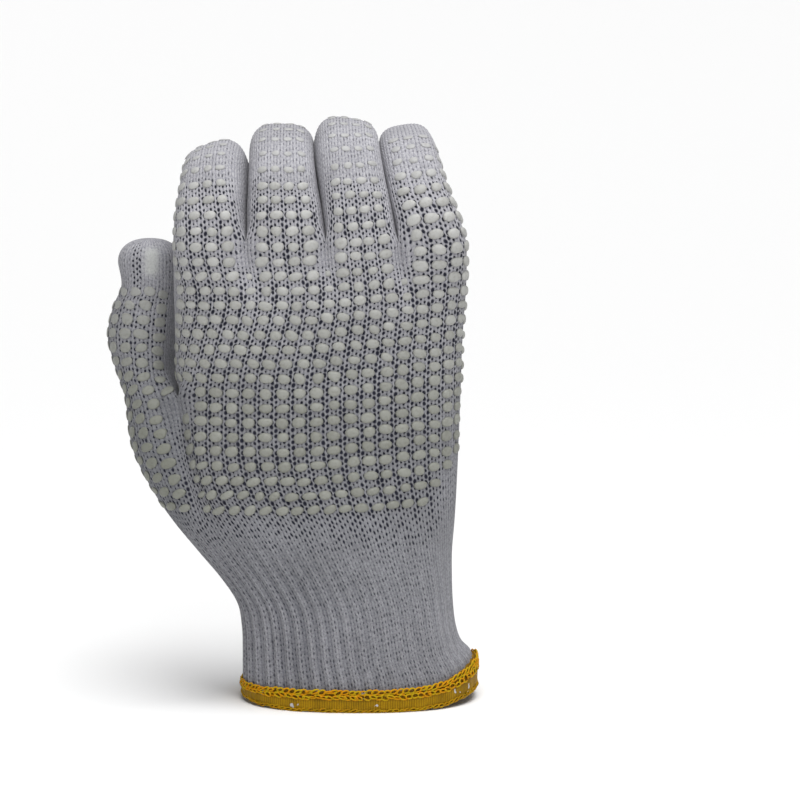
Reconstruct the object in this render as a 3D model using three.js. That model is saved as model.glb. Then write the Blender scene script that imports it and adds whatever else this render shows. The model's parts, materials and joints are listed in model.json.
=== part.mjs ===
// A knitted work glove with grip dots on one side, standing upright as it is worn.
// Millimetres. +Z runs from the mouth of the cuff to the fingers, the dotted side faces -Y,
// the thumb is at -X and the fingers bend towards +Y. The origin is the centre of the mouth.
// The cloth is one surface of rings. Each ring lies on an oval, and where the hand divides
// into thumb and fingers the ring divides too, with a short web between the two branches.
import * as THREE from 'three';

// Driving dimensions
const WALL = 1.8;
const GAP = 0.3;
const HEM_HEIGHT = 7;
const HEM_THUMB_LIFT = 1.6;
const HEM_THUMB_GROWTH = -2.4;
const HEM_FLARE_LIFT = 3.8;
const HEM_FLARE_GROWTH = 3.2;
const HEM_LIFT_REACH = 24;
const HEM_THICKNESS = 3.4;
const CUFF_TOP = 36;
const THUMB_FORK = 103;
const FINGER_FORK = 155;
const FORK_SKIRT = 8;
const FORK_GAP = 0.45;
const SKIRT_STEPS = 3;
const THUMB_TIP_START = 148;
const THUMB_TIP_RISE = 8.4;
const HEM_CORNER = 1.02;

// How square the ovals are: 2 is an ellipse
const HAND_SQUARENESS = 2.35;
const FINGER_SQUARENESS = 3;
const TIP_SQUARENESS = 2.3;

// Where the creases lie on the ovals, in degrees from the side of the oval
const FINGER_CREASE = 36;
const HAND_CREASE = 24;
const THUMB_CREASE = 42;
const WRIST_CREASE = 50;

// How far a crease or a web reaches into the smooth surface beside it
const CREASE_REACH = 7;
const THUMB_BLEND = 46;
const THUMB_FADE = 9;
const FINGER_BLEND = 24;
const FINGER_FADE = 7;

// Steps round a ring
const FINGER_STEPS = 6;
const WEB_STEPS = 2;
const THUMB_STEPS = 5;
const SIDE_STEPS = 3;
const ARC_SAMPLES = 48;

// The usual height of a row of faces
const CUFF_ROW = 9;
const LOWER_HAND_ROW = 11;
const UPPER_HAND_ROW = 11;
const THUMB_ROW = 6;
const FINGER_ROW = 6;

// Where the rings of a closing tip lie, as shares of its curve
const TIP_SHARES = [0.34, 0.62, 0.84];

const COLOURS = {
  knit: 0xbdbcc1,
  thread: 0xc4921e,
};

// The whole outline below the thumb's fork: the four edges of the oval at each height
const BODY = {
  columns: ['z', 'left', 'right', 'front', 'back'],
  rows: [
    [0, -39.6, 39.6, -28.0, 27.5],
    [9, -40.0, 38.4, -27.5, 27.0],
    [16, -40.0, 35.0, -27.0, 26.5],
    [24, -40.2, 33.0, -26.5, 26.0],
    [33, -41.9, 32.0, -26.0, 25.5],
    [41, -47.0, 31.7, -25.4, 25.2],
    [50, -54.6, 31.7, -24.8, 25.0],
    [60, -62.9, 32.5, -24.0, 24.2],
    [72, -71.0, 33.2, -23.2, 23.2],
    [86, -77.5, 33.8, -22.2, 21.5],
    [103, -80.8, 34.4, -21.2, 19.0],
  ],
};

// The hand without the thumb
const HAND = {
  columns: ['z', 'left', 'right', 'front', 'back'],
  rows: [
    [52, -58.0, 32.0, -24.6, 24.6],
    [77, -61.0, 33.4, -22.9, 22.0],
    [103, -62.0, 34.4, -21.2, 18.0],
    [122, -62.0, 35.0, -20.6, 15.5],
    [140, -62.2, 36.1, -20.2, 12.5],
    [155, -62.2, 36.7, -18.2, 9.6],
  ],
};

// The thumb, from where it starts to stand out of the hand to where its tip closes
const THUMB = {
  columns: ['z', 'x', 'y', 'half_width', 'half_depth'],
  rows: [
    [57, -42.5, 2.0, 18.5, 21.0],
    [82, -62.6, 6.0, 14.0, 17.0],
    [103, -70.9, 9.8, 9.9, 13.6],
    [108, -72.9, 12.2, 9.9, 13.0],
    [114, -74.3, 13.8, 10.7, 12.5],
    [123, -75.0, 15.0, 12.0, 12.0],
    [133, -73.7, 15.0, 11.3, 11.2],
    [140, -71.9, 14.6, 10.2, 10.6],
    [148, -72.1, 14.0, 11.0, 10.0],
  ],
};

// The fingers. side is the finger's place across the hand, lean its slant towards the thumb
// for each millimetre of height. A finger starts at the angle start_angle from upright, bends
// to middle_angle round the middle knuckle and to tip_angle round the last one. Beyond its root
// it is rolled by the angle roll about its own middle line.
const FINGERS = {
  columns: [
    'name', 'side', 'depth', 'lean', 'half_width', 'half_depth', 'knuckle_width', 'knuckle_depth',
    'tip_width', 'tip_depth', 'start_angle', 'first_bend', 'middle_angle', 'second_bend', 'tip_angle',
    'length', 'roll',
  ],
  rows: [
    ['index_finger', -49.9, -4.3, 0.082, 12.2, 13.9, 10.4, 10.5, 8.9, 8.4, 10, 9.8, 95, 45, 132, 74, -19],
    ['middle_finger', -23.9, -4.3, -0.08, 13.1, 13.9, 10.7, 10.9, 9.0, 8.6, 10, 16.0, 97, 52, 136, 84, 2],
    ['ring_finger', 1.6, -4.3, -0.2, 11.8, 13.9, 10.7, 10.9, 8.9, 8.5, 10, 18.0, 96, 52, 134, 80, 9],
    ['little_finger', 25.1, -4.3, -0.285, 11.2, 13.7, 9.7, 9.8, 8.2, 7.8, 13, 12.0, 72, 38, 96, 62, -9],
  ],
};
const ROOT_LENGTH = 12;
const FIRST_BEND_LENGTH = 26;
const SECOND_BEND_LENGTH = 18;
const CURVE_STEP = 1;

const QUARTER = Math.PI / 2;

function smooth(t) {
  const c = THREE.MathUtils.clamp(t, 0, 1);
  return c * c * (3 - 2 * c);
}

// The value of one column of a table at a height, on a smooth curve through its rows
function read(table, name, at) {
  const column = table.columns.indexOf(name);
  const rows = table.rows;
  const last = rows.length - 1;
  const z = THREE.MathUtils.clamp(at, rows[0][0], rows[last][0]);
  let i = 0;
  while (i < last - 1 && z > rows[i + 1][0]) {
    i += 1;
  }
  const slope = (k) => {
    const low = rows[Math.max(k - 1, 0)];
    const high = rows[Math.min(k + 1, last)];
    return (high[column] - low[column]) / (high[0] - low[0]);
  };
  const span = rows[i + 1][0] - rows[i][0];
  const t = (z - rows[i][0]) / span;
  const t2 = t * t;
  const t3 = t2 * t;
  return rows[i][column] * (2 * t3 - 3 * t2 + 1)
    + rows[i + 1][column] * (3 * t2 - 2 * t3)
    + span * slope(i) * (t3 - 2 * t2 + t)
    + span * slope(i + 1) * (t3 - t2);
}

function edgedOval(table, z) {
  const [left, right, front, back] = ['left', 'right', 'front', 'back'].map((n) => read(table, n, z));
  return {
    x: (left + right) / 2,
    y: (front + back) / 2,
    a: (right - left) / 2,
    b: (back - front) / 2,
    power: HAND_SQUARENESS,
  };
}

function thumbOval(z) {
  return {
    x: read(THUMB, 'x', z),
    y: read(THUMB, 'y', z),
    a: read(THUMB, 'half_width', z),
    b: read(THUMB, 'half_depth', z),
    power: 2,
  };
}

const fingers = FINGERS.rows.map((row) => Object.fromEntries(FINGERS.columns.map((c, i) => [c, row[i]])));

function fingerRoot(f) {
  return { x: f.side, y: f.depth, a: f.half_width, b: f.half_depth, power: FINGER_SQUARENESS };
}

// A point of an oval at an angle in degrees: 0 is the +X side, 90 the dotted side, 180 the -X side
function onOval(oval, degrees) {
  const angle = THREE.MathUtils.degToRad(degrees);
  const c = Math.cos(angle);
  const s = Math.sin(angle);
  const p = 2 / oval.power;
  return [
    oval.x + oval.a * Math.sign(c) * Math.abs(c) ** p,
    oval.y - oval.b * Math.sign(s) * Math.abs(s) ** p,
  ];
}

// Points along an oval from one angle to another, evenly spaced by length, ends included
function arc(oval, from, to, steps) {
  const points = [];
  const lengths = [0];
  for (let i = 0; i <= ARC_SAMPLES; i += 1) {
    points.push(onOval(oval, from + ((to - from) * i) / ARC_SAMPLES));
    if (i > 0) {
      const [x0, y0] = points[i - 1];
      const [x1, y1] = points[i];
      lengths.push(lengths[i - 1] + Math.hypot(x1 - x0, y1 - y0));
    }
  }
  const found = [];
  let k = 0;
  for (let j = 0; j <= steps; j += 1) {
    const wanted = (lengths[ARC_SAMPLES] * j) / steps;
    while (k < ARC_SAMPLES - 1 && lengths[k + 1] < wanted) {
      k += 1;
    }
    const t = (wanted - lengths[k]) / (lengths[k + 1] - lengths[k]);
    found.push([
      points[k][0] + (points[k + 1][0] - points[k][0]) * t,
      points[k][1] + (points[k + 1][1] - points[k][1]) * t,
    ]);
  }
  return found;
}

// Moves the end of an arc onto a crease, and draws the points near it along
function pulled(points, target, atStart) {
  const end = atStart ? points[0] : points[points.length - 1];
  return points.map(([x, y]) => {
    const near = 1 - smooth(Math.hypot(x - end[0], y - end[1]) / CREASE_REACH);
    return [x + (target[0] - end[0]) * near, y + (target[1] - end[1]) * near];
  });
}

function halfway(p, q) {
  return [(p[0] + q[0]) / 2, (p[1] + q[1]) / 2];
}

function mixed(first, second, t) {
  return first.map((p, i) => p.map((v, j) => v + (second[i][j] - v) * t));
}

function atHeight(points, z) {
  return points.map(([x, y]) => [x, y, z]);
}

// How much higher than at the front the hem's lower and upper edges lie at a place of its ring.
// The lower edge rises to both sides. The hem is narrower on the thumb's side, and wider on the
// other side, where the mouth flares.
function hemLift(x) {
  const share = (x / BODY.rows[0][2]) ** 4;
  const lower = share * (x < 0 ? HEM_THUMB_LIFT : HEM_FLARE_LIFT);
  return { lower, upper: lower + share * (x < 0 ? HEM_THUMB_GROWTH : HEM_FLARE_GROWTH) };
}

// The lowest rings of the cuff follow the upper edge of the hem
function lifted(points) {
  return points.map(([x, y, z]) => (
    [x, y, z + hemLift(x).upper * (1 - smooth((z - HEM_HEIGHT) / HEM_LIFT_REACH))]
  ));
}

const HAND_STEPS = FINGER_STEPS * fingers.length;

// The ring below the thumb's fork, as the dotted side, the plain side and the thumb's two arcs,
// without the last point of each arc. It runs from the thumb's crease across the dotted side,
// back across the plain side and round the thumb.
function lowerRing(z) {
  const whole = edgedOval(BODY, z);
  const rim = 180 - WRIST_CREASE;
  const plain = [
    arc(whole, rim, 0, HAND_STEPS),
    arc(whole, 0, -rim, HAND_STEPS),
    arc(whole, -rim, -180, THUMB_STEPS),
    arc(whole, 180, rim, THUMB_STEPS),
  ];
  const hand = edgedOval(HAND, z);
  const thumb = thumbOval(z);
  const root = 180 - HAND_CREASE;
  const lobes = [
    arc(hand, root, 0, HAND_STEPS),
    arc(hand, 0, -root, HAND_STEPS),
    arc(thumb, -THUMB_CREASE, -180, THUMB_STEPS),
    arc(thumb, 180, THUMB_CREASE, THUMB_STEPS),
  ];
  const dotted = halfway(lobes[0][0], lobes[3][THUMB_STEPS]);
  const smoothSide = halfway(lobes[1][HAND_STEPS], lobes[2][0]);
  lobes[0] = pulled(lobes[0], dotted, true);
  lobes[3] = pulled(lobes[3], dotted, false);
  lobes[1] = pulled(lobes[1], smoothSide, false);
  lobes[2] = pulled(lobes[2], smoothSide, true);
  const t = smooth((z - THUMB_FORK + THUMB_BLEND) / THUMB_BLEND);
  return atHeight(plain.flatMap((part, i) => mixed(part, lobes[i], t).slice(0, -1)), z);
}

// The ring between the two forks: dotted side, plain side and the side where the thumb left
function handRing(z) {
  const hand = edgedOval(HAND, z);
  const root = 180 - HAND_CREASE;
  const plain = [
    arc(hand, root, 0, HAND_STEPS),
    arc(hand, 0, -root, HAND_STEPS),
    arc(hand, 180 + HAND_CREASE, root, SIDE_STEPS),
  ];
  const dotted = [];
  const smoothSide = [];
  fingers.forEach((f, i) => {
    const [left, right] = creases(i);
    dotted.push(arc(fingerRoot(f), 180 - left, right, FINGER_STEPS));
    smoothSide.push(arc(fingerRoot(f), -right, left - 180, FINGER_STEPS));
  });
  for (let i = 0; i < fingers.length - 1; i += 1) {
    const upper = halfway(dotted[i][FINGER_STEPS], dotted[i + 1][0]);
    const lower = halfway(smoothSide[i][0], smoothSide[i + 1][FINGER_STEPS]);
    dotted[i] = pulled(dotted[i], upper, false);
    dotted[i + 1] = pulled(dotted[i + 1], upper, true);
    smoothSide[i] = pulled(smoothSide[i], lower, true);
    smoothSide[i + 1] = pulled(smoothSide[i + 1], lower, false);
  }
  const lobes = [
    joined(dotted),
    joined(smoothSide.reverse()),
    arc(fingerRoot(fingers[0]), 180 + HAND_CREASE, root, SIDE_STEPS),
  ];
  const t = smooth((z - FINGER_FORK + FINGER_BLEND) / FINGER_BLEND);
  return atHeight(plain.flatMap((part, i) => mixed(part, lobes[i], t).slice(0, -1)), z);
}

function joined(arcs) {
  return arcs.flatMap((points, i) => (i < arcs.length - 1 ? points.slice(0, -1) : points));
}

// The angles of a finger's creases from its two sides. The first finger has the hand's side
// instead of a crease, and the last one ends at the side of the oval.
function creases(i) {
  const left = i === 0 ? HAND_CREASE : FINGER_CREASE;
  const right = i === fingers.length - 1 ? 0 : FINGER_CREASE;
  return [left, right];
}

// The middle line of a finger: its place and its angle at each step
function middleLine(f) {
  const line = [];
  let x = f.side;
  let y = f.depth;
  let z = FINGER_FORK;
  for (let v = 0; v <= f.length; v += CURVE_STEP) {
    const first = smooth((v - f.first_bend) / FIRST_BEND_LENGTH);
    const second = smooth((v - f.second_bend) / SECOND_BEND_LENGTH);
    const degrees = f.start_angle * smooth(v / ROOT_LENGTH)
      + (f.middle_angle - f.start_angle) * first
      + (f.tip_angle - f.middle_angle) * second;
    const angle = THREE.MathUtils.degToRad(degrees);
    line.push([x, y, z, angle]);
    x += f.lean * Math.max(Math.cos(angle), 0) * CURVE_STEP;
    y += Math.sin(angle) * CURVE_STEP;
    z += Math.cos(angle) * CURVE_STEP;
  }
  return line;
}

// The half width or half depth of a finger along its length
function taper(f, root, knuckle, tip, v) {
  const middle = f.first_bend + FIRST_BEND_LENGTH / 2;
  if (v < middle) {
    return f[root] + (f[knuckle] - f[root]) * smooth(v / middle);
  }
  return f[knuckle] + (f[tip] - f[knuckle]) * smooth((v - middle) / (f.length - middle));
}

// The ring of a finger at the length v along it. Past tipStart the tip closes as a dome.
function fingerRing(i, v) {
  const f = fingers[i];
  const line = middleLine(f);
  const tipStart = f.length - f.tip_width;
  const angle = THREE.MathUtils.clamp((v - tipStart) / f.tip_width, 0, QUARTER);
  const along = Math.min(v, tipStart);
  const k = Math.min(Math.floor(along / CURVE_STEP), line.length - 2);
  const t = along / CURVE_STEP - k;
  const [x, y, z, turn] = line[k].map((value, j) => value + (line[k + 1][j] - value) * t);
  const dome = Math.sin(angle) ** (2 / TIP_SQUARENESS) * f.tip_width;
  const size = Math.max(Math.cos(angle), 0) ** (2 / TIP_SQUARENESS);
  const oval = {
    x: 0,
    y: 0,
    a: taper(f, 'half_width', 'knuckle_width', 'tip_width', along) * size,
    b: taper(f, 'half_depth', 'knuckle_depth', 'tip_depth', along) * size,
    power: FINGER_SQUARENESS,
  };
  const [left, right] = creases(i);
  const leftSteps = i === 0 ? SIDE_STEPS : WEB_STEPS;
  const rightSteps = i === fingers.length - 1 ? 0 : WEB_STEPS;
  const parts = [arc(oval, 180 - left, right, FINGER_STEPS)];
  if (rightSteps > 0) {
    parts.push(arc(oval, right, -right, rightSteps));
  }
  parts.push(arc(oval, -right, left - 180, FINGER_STEPS));
  parts.push(arc(oval, 180 + left, 180 - left, leftSteps));
  const sin = Math.sin(turn);
  const cos = Math.cos(turn);
  const roll = THREE.MathUtils.degToRad(f.roll * smooth(v / (f.first_bend + FIRST_BEND_LENGTH / 2)));
  return parts.flatMap((part) => part.slice(0, -1)).map(([across, deep]) => {
    const side = across * Math.cos(roll) - deep * Math.sin(roll);
    const depth = across * Math.sin(roll) + deep * Math.cos(roll);
    return [x + side, y + depth * cos + dome * sin, z - depth * sin + dome * cos];
  });
}

// The thumb's ring at the height z. Past THUMB_TIP_START the rings close as a dome.
function thumbRing(z) {
  const over = THREE.MathUtils.clamp((z - THUMB_TIP_START) / THUMB_TIP_RISE, 0, 1);
  const angle = over * QUARTER;
  const oval = thumbOval(Math.min(z, THUMB_TIP_START));
  const size = Math.max(Math.cos(angle), 0) ** (2 / TIP_SQUARENESS);
  oval.a *= size;
  oval.b *= size;
  const rise = over > 0 ? THUMB_TIP_START + THUMB_TIP_RISE * Math.sin(angle) ** (2 / TIP_SQUARENESS) : z;
  const parts = [
    arc(oval, -THUMB_CREASE, -180, THUMB_STEPS),
    arc(oval, 180, THUMB_CREASE, THUMB_STEPS),
    arc(oval, THUMB_CREASE, -THUMB_CREASE, SIDE_STEPS),
  ];
  return atHeight(parts.flatMap((part) => part.slice(0, -1)), rise);
}

// The whole cloth: its outer points, and its faces by the node that they belong to
const outer = [];
const faces = new Map();
const gapPairs = [];

function addPoint(p) {
  outer.push(new THREE.Vector3(...p));
  return outer.length - 1;
}

function addRing(points) {
  return points.map(addPoint);
}

// Joins two rings of point numbers by triangles. A null name leaves the strip open as a gap.
function strip(name, low, high) {
  const list = faces.get(name) ?? [];
  faces.set(name, list);
  low.forEach((p, i) => {
    const j = (i + 1) % low.length;
    list.push([p, low[j], high[j]], [p, high[j], high[i]]);
  });
  if (name === null) {
    low.forEach((p, i) => gapPairs.push([p, high[i]]));
  }
}

function closeTip(name, ring, pole) {
  const list = faces.get(name);
  ring.forEach((p, i) => list.push([p, ring[(i + 1) % ring.length], pole]));
}

// Points between two others, ends left out, for a web
function webPoints(from, to, steps) {
  const found = [];
  for (let i = 1; i < steps; i += 1) {
    found.push(addPoint(outer[from].clone().lerp(outer[to], i / steps).toArray()));
  }
  return found;
}

// Grows a branch from its first ring, which already has its points. What the first ring
// differs from the branch's own ring fades out over the given length.
function grow(first, ringAt, heights, fade, nameAt) {
  const own = ringAt(heights[0]);
  const residue = first.map((p, i) => outer[p].clone().sub(new THREE.Vector3(...own[i])));
  let below = first;
  for (let k = 1; k < heights.length; k += 1) {
    const share = 1 - smooth((heights[k] - heights[0]) / fade);
    const points = ringAt(heights[k]).map((p, i) => (
      new THREE.Vector3(...p).addScaledVector(residue[i], share).toArray()
    ));
    const ring = addRing(points);
    strip(nameAt(heights[k]), below, ring);
    below = ring;
  }
  return below;
}

function steps(from, to, size) {
  const count = Math.max(Math.round((to - from) / size), 1);
  return Array.from({ length: count + 1 }, (_, i) => from + ((to - from) * i) / count);
}

// Cuff and lower hand
const CUFF_BOTTOM = HEM_HEIGHT + GAP;
const lowHeights = [
  ...steps(CUFF_BOTTOM, CUFF_TOP - GAP / 2, CUFF_ROW),
  ...steps(CUFF_TOP + GAP / 2, THUMB_FORK, LOWER_HAND_ROW),
];
const bottom = addRing(lifted(lowerRing(lowHeights[0])));
let ring = bottom;
for (let k = 1; k < lowHeights.length; k += 1) {
  const next = addRing(lifted(lowerRing(lowHeights[k])));
  const middle = (lowHeights[k - 1] + lowHeights[k]) / 2;
  let name = 'lower_hand';
  if (middle < CUFF_TOP - GAP / 2) {
    name = 'cuff';
  } else if (middle < CUFF_TOP + GAP / 2) {
    name = null;
  }
  strip(name, ring, next);
  ring = next;
}

// The thumb's fork
const thumbEnd = 2 * HAND_STEPS;
const dottedCrease = ring[0];
const plainCrease = ring[thumbEnd];
const thumbWeb = webPoints(plainCrease, dottedCrease, SIDE_STEPS);
const handRoot = [...ring.slice(0, thumbEnd), plainCrease, ...thumbWeb];
const thumbRoot = [...ring.slice(thumbEnd), dottedCrease, ...[...thumbWeb].reverse()];

// The node that a strip of a branch belongs to, by the height of the strip's upper edge. The
// first strips are a skirt that belongs to the node below.
function branchName(name, start, below) {
  return (top) => {
    const height = top - start;
    if (height < FORK_SKIRT + FORK_GAP / 2) {
      return below;
    }
    return height < FORK_SKIRT + 2 * FORK_GAP ? null : name;
  };
}

function branchSteps(start, end, size) {
  return [
    ...steps(start, start + FORK_SKIRT, FORK_SKIRT / SKIRT_STEPS),
    ...steps(start + FORK_SKIRT + FORK_GAP, end, size),
  ];
}

// The thumb
const thumbHeights = branchSteps(THUMB_FORK, THUMB_TIP_START, THUMB_ROW);
TIP_SHARES.forEach((share) => thumbHeights.push(THUMB_TIP_START + share * THUMB_TIP_RISE));
const thumbName = branchName('thumb', THUMB_FORK, 'lower_hand');
const thumbTop = grow(thumbRoot, thumbRing, thumbHeights, THUMB_FADE, thumbName);
const thumbPole = thumbOval(THUMB_TIP_START);
closeTip('thumb', thumbTop, addPoint([thumbPole.x, thumbPole.y, THUMB_TIP_START + THUMB_TIP_RISE]));

// The upper hand
const handHeights = branchSteps(THUMB_FORK, FINGER_FORK, UPPER_HAND_ROW);
const handName = branchName('upper_hand', THUMB_FORK, 'lower_hand');
const handTop = grow(handRoot, handRing, handHeights, THUMB_FADE, handName);

// The fingers
const fingerWebs = [];
for (let i = 0; i < fingers.length - 1; i += 1) {
  const upper = handTop[(i + 1) * FINGER_STEPS];
  const lower = handTop[2 * HAND_STEPS - (i + 1) * FINGER_STEPS];
  fingerWebs.push({ upper, lower, between: webPoints(upper, lower, WEB_STEPS) });
}
fingers.forEach((f, i) => {
  const dotted = handTop.slice(i * FINGER_STEPS, (i + 1) * FINGER_STEPS + 1);
  const from = 2 * HAND_STEPS - (i + 1) * FINGER_STEPS;
  const plain = handTop.slice(from, from + FINGER_STEPS + 1);
  const rightWeb = i < fingers.length - 1 ? fingerWebs[i].between : [];
  const leftWeb = i > 0 ? [...fingerWebs[i - 1].between].reverse() : handTop.slice(2 * HAND_STEPS + 1);
  const open = i === fingers.length - 1 ? dotted.slice(0, -1) : dotted;
  const root = [...open, ...rightWeb, ...plain, ...leftWeb];
  const tipStart = f.length - f.tip_width;
  const lengths = branchSteps(0, tipStart, FINGER_ROW);
  TIP_SHARES.forEach((share) => lengths.push(tipStart + share * QUARTER * f.tip_width));
  const nameAt = branchName(f.name, 0, 'upper_hand');
  const top = grow(root, (v) => fingerRing(i, v), lengths, FINGER_FADE, nameAt);
  const [pole] = fingerRing(i, tipStart + QUARTER * f.tip_width);
  closeTip(f.name, top, addPoint(pole));
});

// The inner side of the cloth lies one wall inside the outer one, along the smooth normals
const normals = outer.map(() => new THREE.Vector3());
faces.forEach((list) => list.forEach(([a, b, c]) => {
  const across = outer[b].clone().sub(outer[a]);
  const along = outer[c].clone().sub(outer[a]);
  const normal = across.cross(along);
  [a, b, c].forEach((p) => normals[p].add(normal));
}));
bottom.forEach((p) => normals[p].setZ(0));
gapPairs.forEach(([p, q]) => {
  normals[p].add(normals[q]);
  normals[q].copy(normals[p]);
});
const inner = outer.map((p, i) => p.clone().addScaledVector(normals[i].normalize(), -WALL));

// A closed wall from faces of the cloth: both sides, and a rim along each open edge
function wallGeometry(list) {
  const positions = [];
  const push = (...corners) => corners.forEach((p) => positions.push(p.x, p.y, p.z));
  const edges = new Map();
  list.forEach(([a, b, c]) => {
    push(outer[a], outer[b], outer[c]);
    push(inner[a], inner[c], inner[b]);
    [[a, b], [b, c], [c, a]].forEach(([p, q]) => {
      if (!edges.delete(`${q},${p}`)) {
        edges.set(`${p},${q}`, [p, q]);
      }
    });
  });
  edges.forEach(([p, q]) => {
    push(outer[q], outer[p], inner[p]);
    push(outer[q], inner[p], inner[q]);
  });
  return geometryOf(positions);
}

function geometryOf(positions) {
  const geometry = new THREE.BufferGeometry();
  geometry.setAttribute('position', new THREE.Float32BufferAttribute(positions, 3));
  geometry.computeVertexNormals();
  return geometry;
}

// The hem: a rounded band that wraps the raw edge of the cuff
function hemGeometry() {
  const profile = [
    [HEM_THICKNESS / 2 - HEM_CORNER, 0],
    [HEM_THICKNESS / 2, HEM_CORNER],
    [HEM_THICKNESS / 2, HEM_HEIGHT - HEM_CORNER],
    [HEM_THICKNESS / 2 - HEM_CORNER, HEM_HEIGHT],
    [HEM_CORNER - HEM_THICKNESS / 2, HEM_HEIGHT],
    [-HEM_THICKNESS / 2, HEM_HEIGHT - HEM_CORNER],
    [-HEM_THICKNESS / 2, HEM_CORNER],
    [HEM_CORNER - HEM_THICKNESS / 2, 0],
  ];
  const section = lowerRing(0).map(([x, y]) => new THREE.Vector2(x, y));
  const count = section.length;
  const rings = profile.map(([out, z]) => lowerRing(z).map(([x, y], i) => {
    const ahead = section[(i + 1) % count];
    const behind = section[(i + count - 1) % count];
    const along = ahead.clone().sub(behind).normalize();
    const reach = out - WALL / 2;
    const { lower, upper } = hemLift(x);
    const height = z + lower + ((upper - lower) * z) / HEM_HEIGHT;
    return new THREE.Vector3(x + along.y * reach, y - along.x * reach, height);
  }));
  const positions = [];
  const push = (...corners) => corners.forEach((p) => positions.push(p.x, p.y, p.z));
  rings.forEach((low, k) => {
    const high = rings[(k + 1) % rings.length];
    low.forEach((p, i) => {
      const j = (i + 1) % count;
      push(p, low[j], high[j]);
      push(p, high[j], high[i]);
    });
  });
  return geometryOf(positions);
}

function piece(name, geometry, colour) {
  const material = new THREE.MeshStandardMaterial({ color: colour, roughness: 0.92, metalness: 0 });
  const mesh = new THREE.Mesh(geometry, material);
  mesh.name = name;
  return mesh;
}

const glove = new THREE.Group();
glove.name = 'dotted_knit_glove';
['lower_hand', 'upper_hand', 'thumb', ...fingers.map((f) => f.name), 'cuff'].forEach((name) => {
  glove.add(piece(name, wallGeometry(faces.get(name)), COLOURS.knit));
});
glove.add(piece('overlock_hem', hemGeometry(), COLOURS.thread));

export default glove;
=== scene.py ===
"""A knitted work glove with grip dots, standing upright as it is worn.

The cloth is one surface of rings, as it is in the frame. Each ring lies on an oval, and the ring
divides where the hand divides into thumb and fingers. Every point of it has a stitch coordinate:
u counts the wales round the glove and v counts the courses along it. Lengths below are in
millimetres until a mesh is written.
"""
import json
import math

import bpy
import numpy as np
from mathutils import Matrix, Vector

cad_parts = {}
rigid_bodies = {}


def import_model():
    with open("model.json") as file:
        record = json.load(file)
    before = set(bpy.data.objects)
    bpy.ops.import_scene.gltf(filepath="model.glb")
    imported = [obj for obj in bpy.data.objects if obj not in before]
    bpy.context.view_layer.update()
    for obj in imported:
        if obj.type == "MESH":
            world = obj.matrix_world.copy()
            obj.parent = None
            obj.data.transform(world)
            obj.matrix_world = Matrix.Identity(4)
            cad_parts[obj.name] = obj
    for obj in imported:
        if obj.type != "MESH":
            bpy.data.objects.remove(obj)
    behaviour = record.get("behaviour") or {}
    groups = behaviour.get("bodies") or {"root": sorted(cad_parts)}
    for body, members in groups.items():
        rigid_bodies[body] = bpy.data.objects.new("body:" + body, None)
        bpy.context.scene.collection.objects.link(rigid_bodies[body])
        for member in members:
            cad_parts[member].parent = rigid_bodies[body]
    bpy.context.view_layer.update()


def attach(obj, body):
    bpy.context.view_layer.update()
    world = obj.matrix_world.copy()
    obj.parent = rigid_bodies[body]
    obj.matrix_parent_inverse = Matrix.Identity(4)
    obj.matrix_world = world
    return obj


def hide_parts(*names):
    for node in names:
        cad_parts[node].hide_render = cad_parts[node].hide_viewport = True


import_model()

bl_info = {
    "name": "Dotted Knit Glove",
    "version": (1, 0, 0),
    "blender": (4, 5, 0),
    "location": "3D View > Sidebar > Glove",
    "description": "Builds a worn knit work glove with grip dots and an overlocked hem",
    "category": "Add Mesh",
}

# Sizes in millimetres: the wall, the hem with its rise and growth towards the thumb's side and the
# flared side, the lowest and highest height of the cuff's cloth, the forks, and the thumb's tip
MM = 0.001
WALL = 1.8
HEM_HEIGHT = 7.0
HEM_LIFTS = (1.6, 3.8)
HEM_GROWTHS = (-2.4, 3.2)
HEM_LIFT_REACH = 24.0
HEM_THICKNESS = 3.4
CLOTH_BOTTOM = 5.6
CUFF_TOP = 36.0
THUMB_FORK = 103.0
FINGER_FORK = 155.0
FORK_SKIRT = 8.0
THUMB_TIP_START = 148.0
THUMB_TIP_RISE = 8.4

# How square the ovals are: 2 is an ellipse
HAND_SQUARENESS = 2.35
FINGER_SQUARENESS = 3.0
TIP_SQUARENESS = 2.3

# Where the creases lie on the ovals, in degrees from the side of the oval
FINGER_CREASE = 36.0
HAND_CREASE = 24.0
THUMB_CREASE = 42.0
WRIST_CREASE = 50.0

# How far a crease reaches into the surface beside it, how far below a fork its lobes begin, and
# how far above it a branch takes its own form
CREASE_REACH = 7.0
THUMB_BLEND = 46.0
THUMB_FADE = 9.0
FINGER_BLEND = 24.0
FINGER_FADE = 7.0

# The lengths over which a finger turns, and the fineness of the arcs and of the middle line
ROOT_LENGTH = 12.0
FIRST_BEND_LENGTH = 26.0
SECOND_BEND_LENGTH = 18.0
ARC_SAMPLES = 480
MIDDLE_STEP = 0.2

# The knit: wales of each arc, and points of the mesh in a stitch
FINGER_WALES = 20
WEB_WALES = 12
THUMB_WALES = 19
SIDE_WALES = 10
FORK_SHIFT = 7
COLUMNS = 4
ROWS = 3
COURSE = 1.85
TIP_SPACING = 0.8


def table(names, rows):
    """The columns of a table by name."""
    return dict(zip(names.split(), np.array(rows, float).T))


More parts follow.
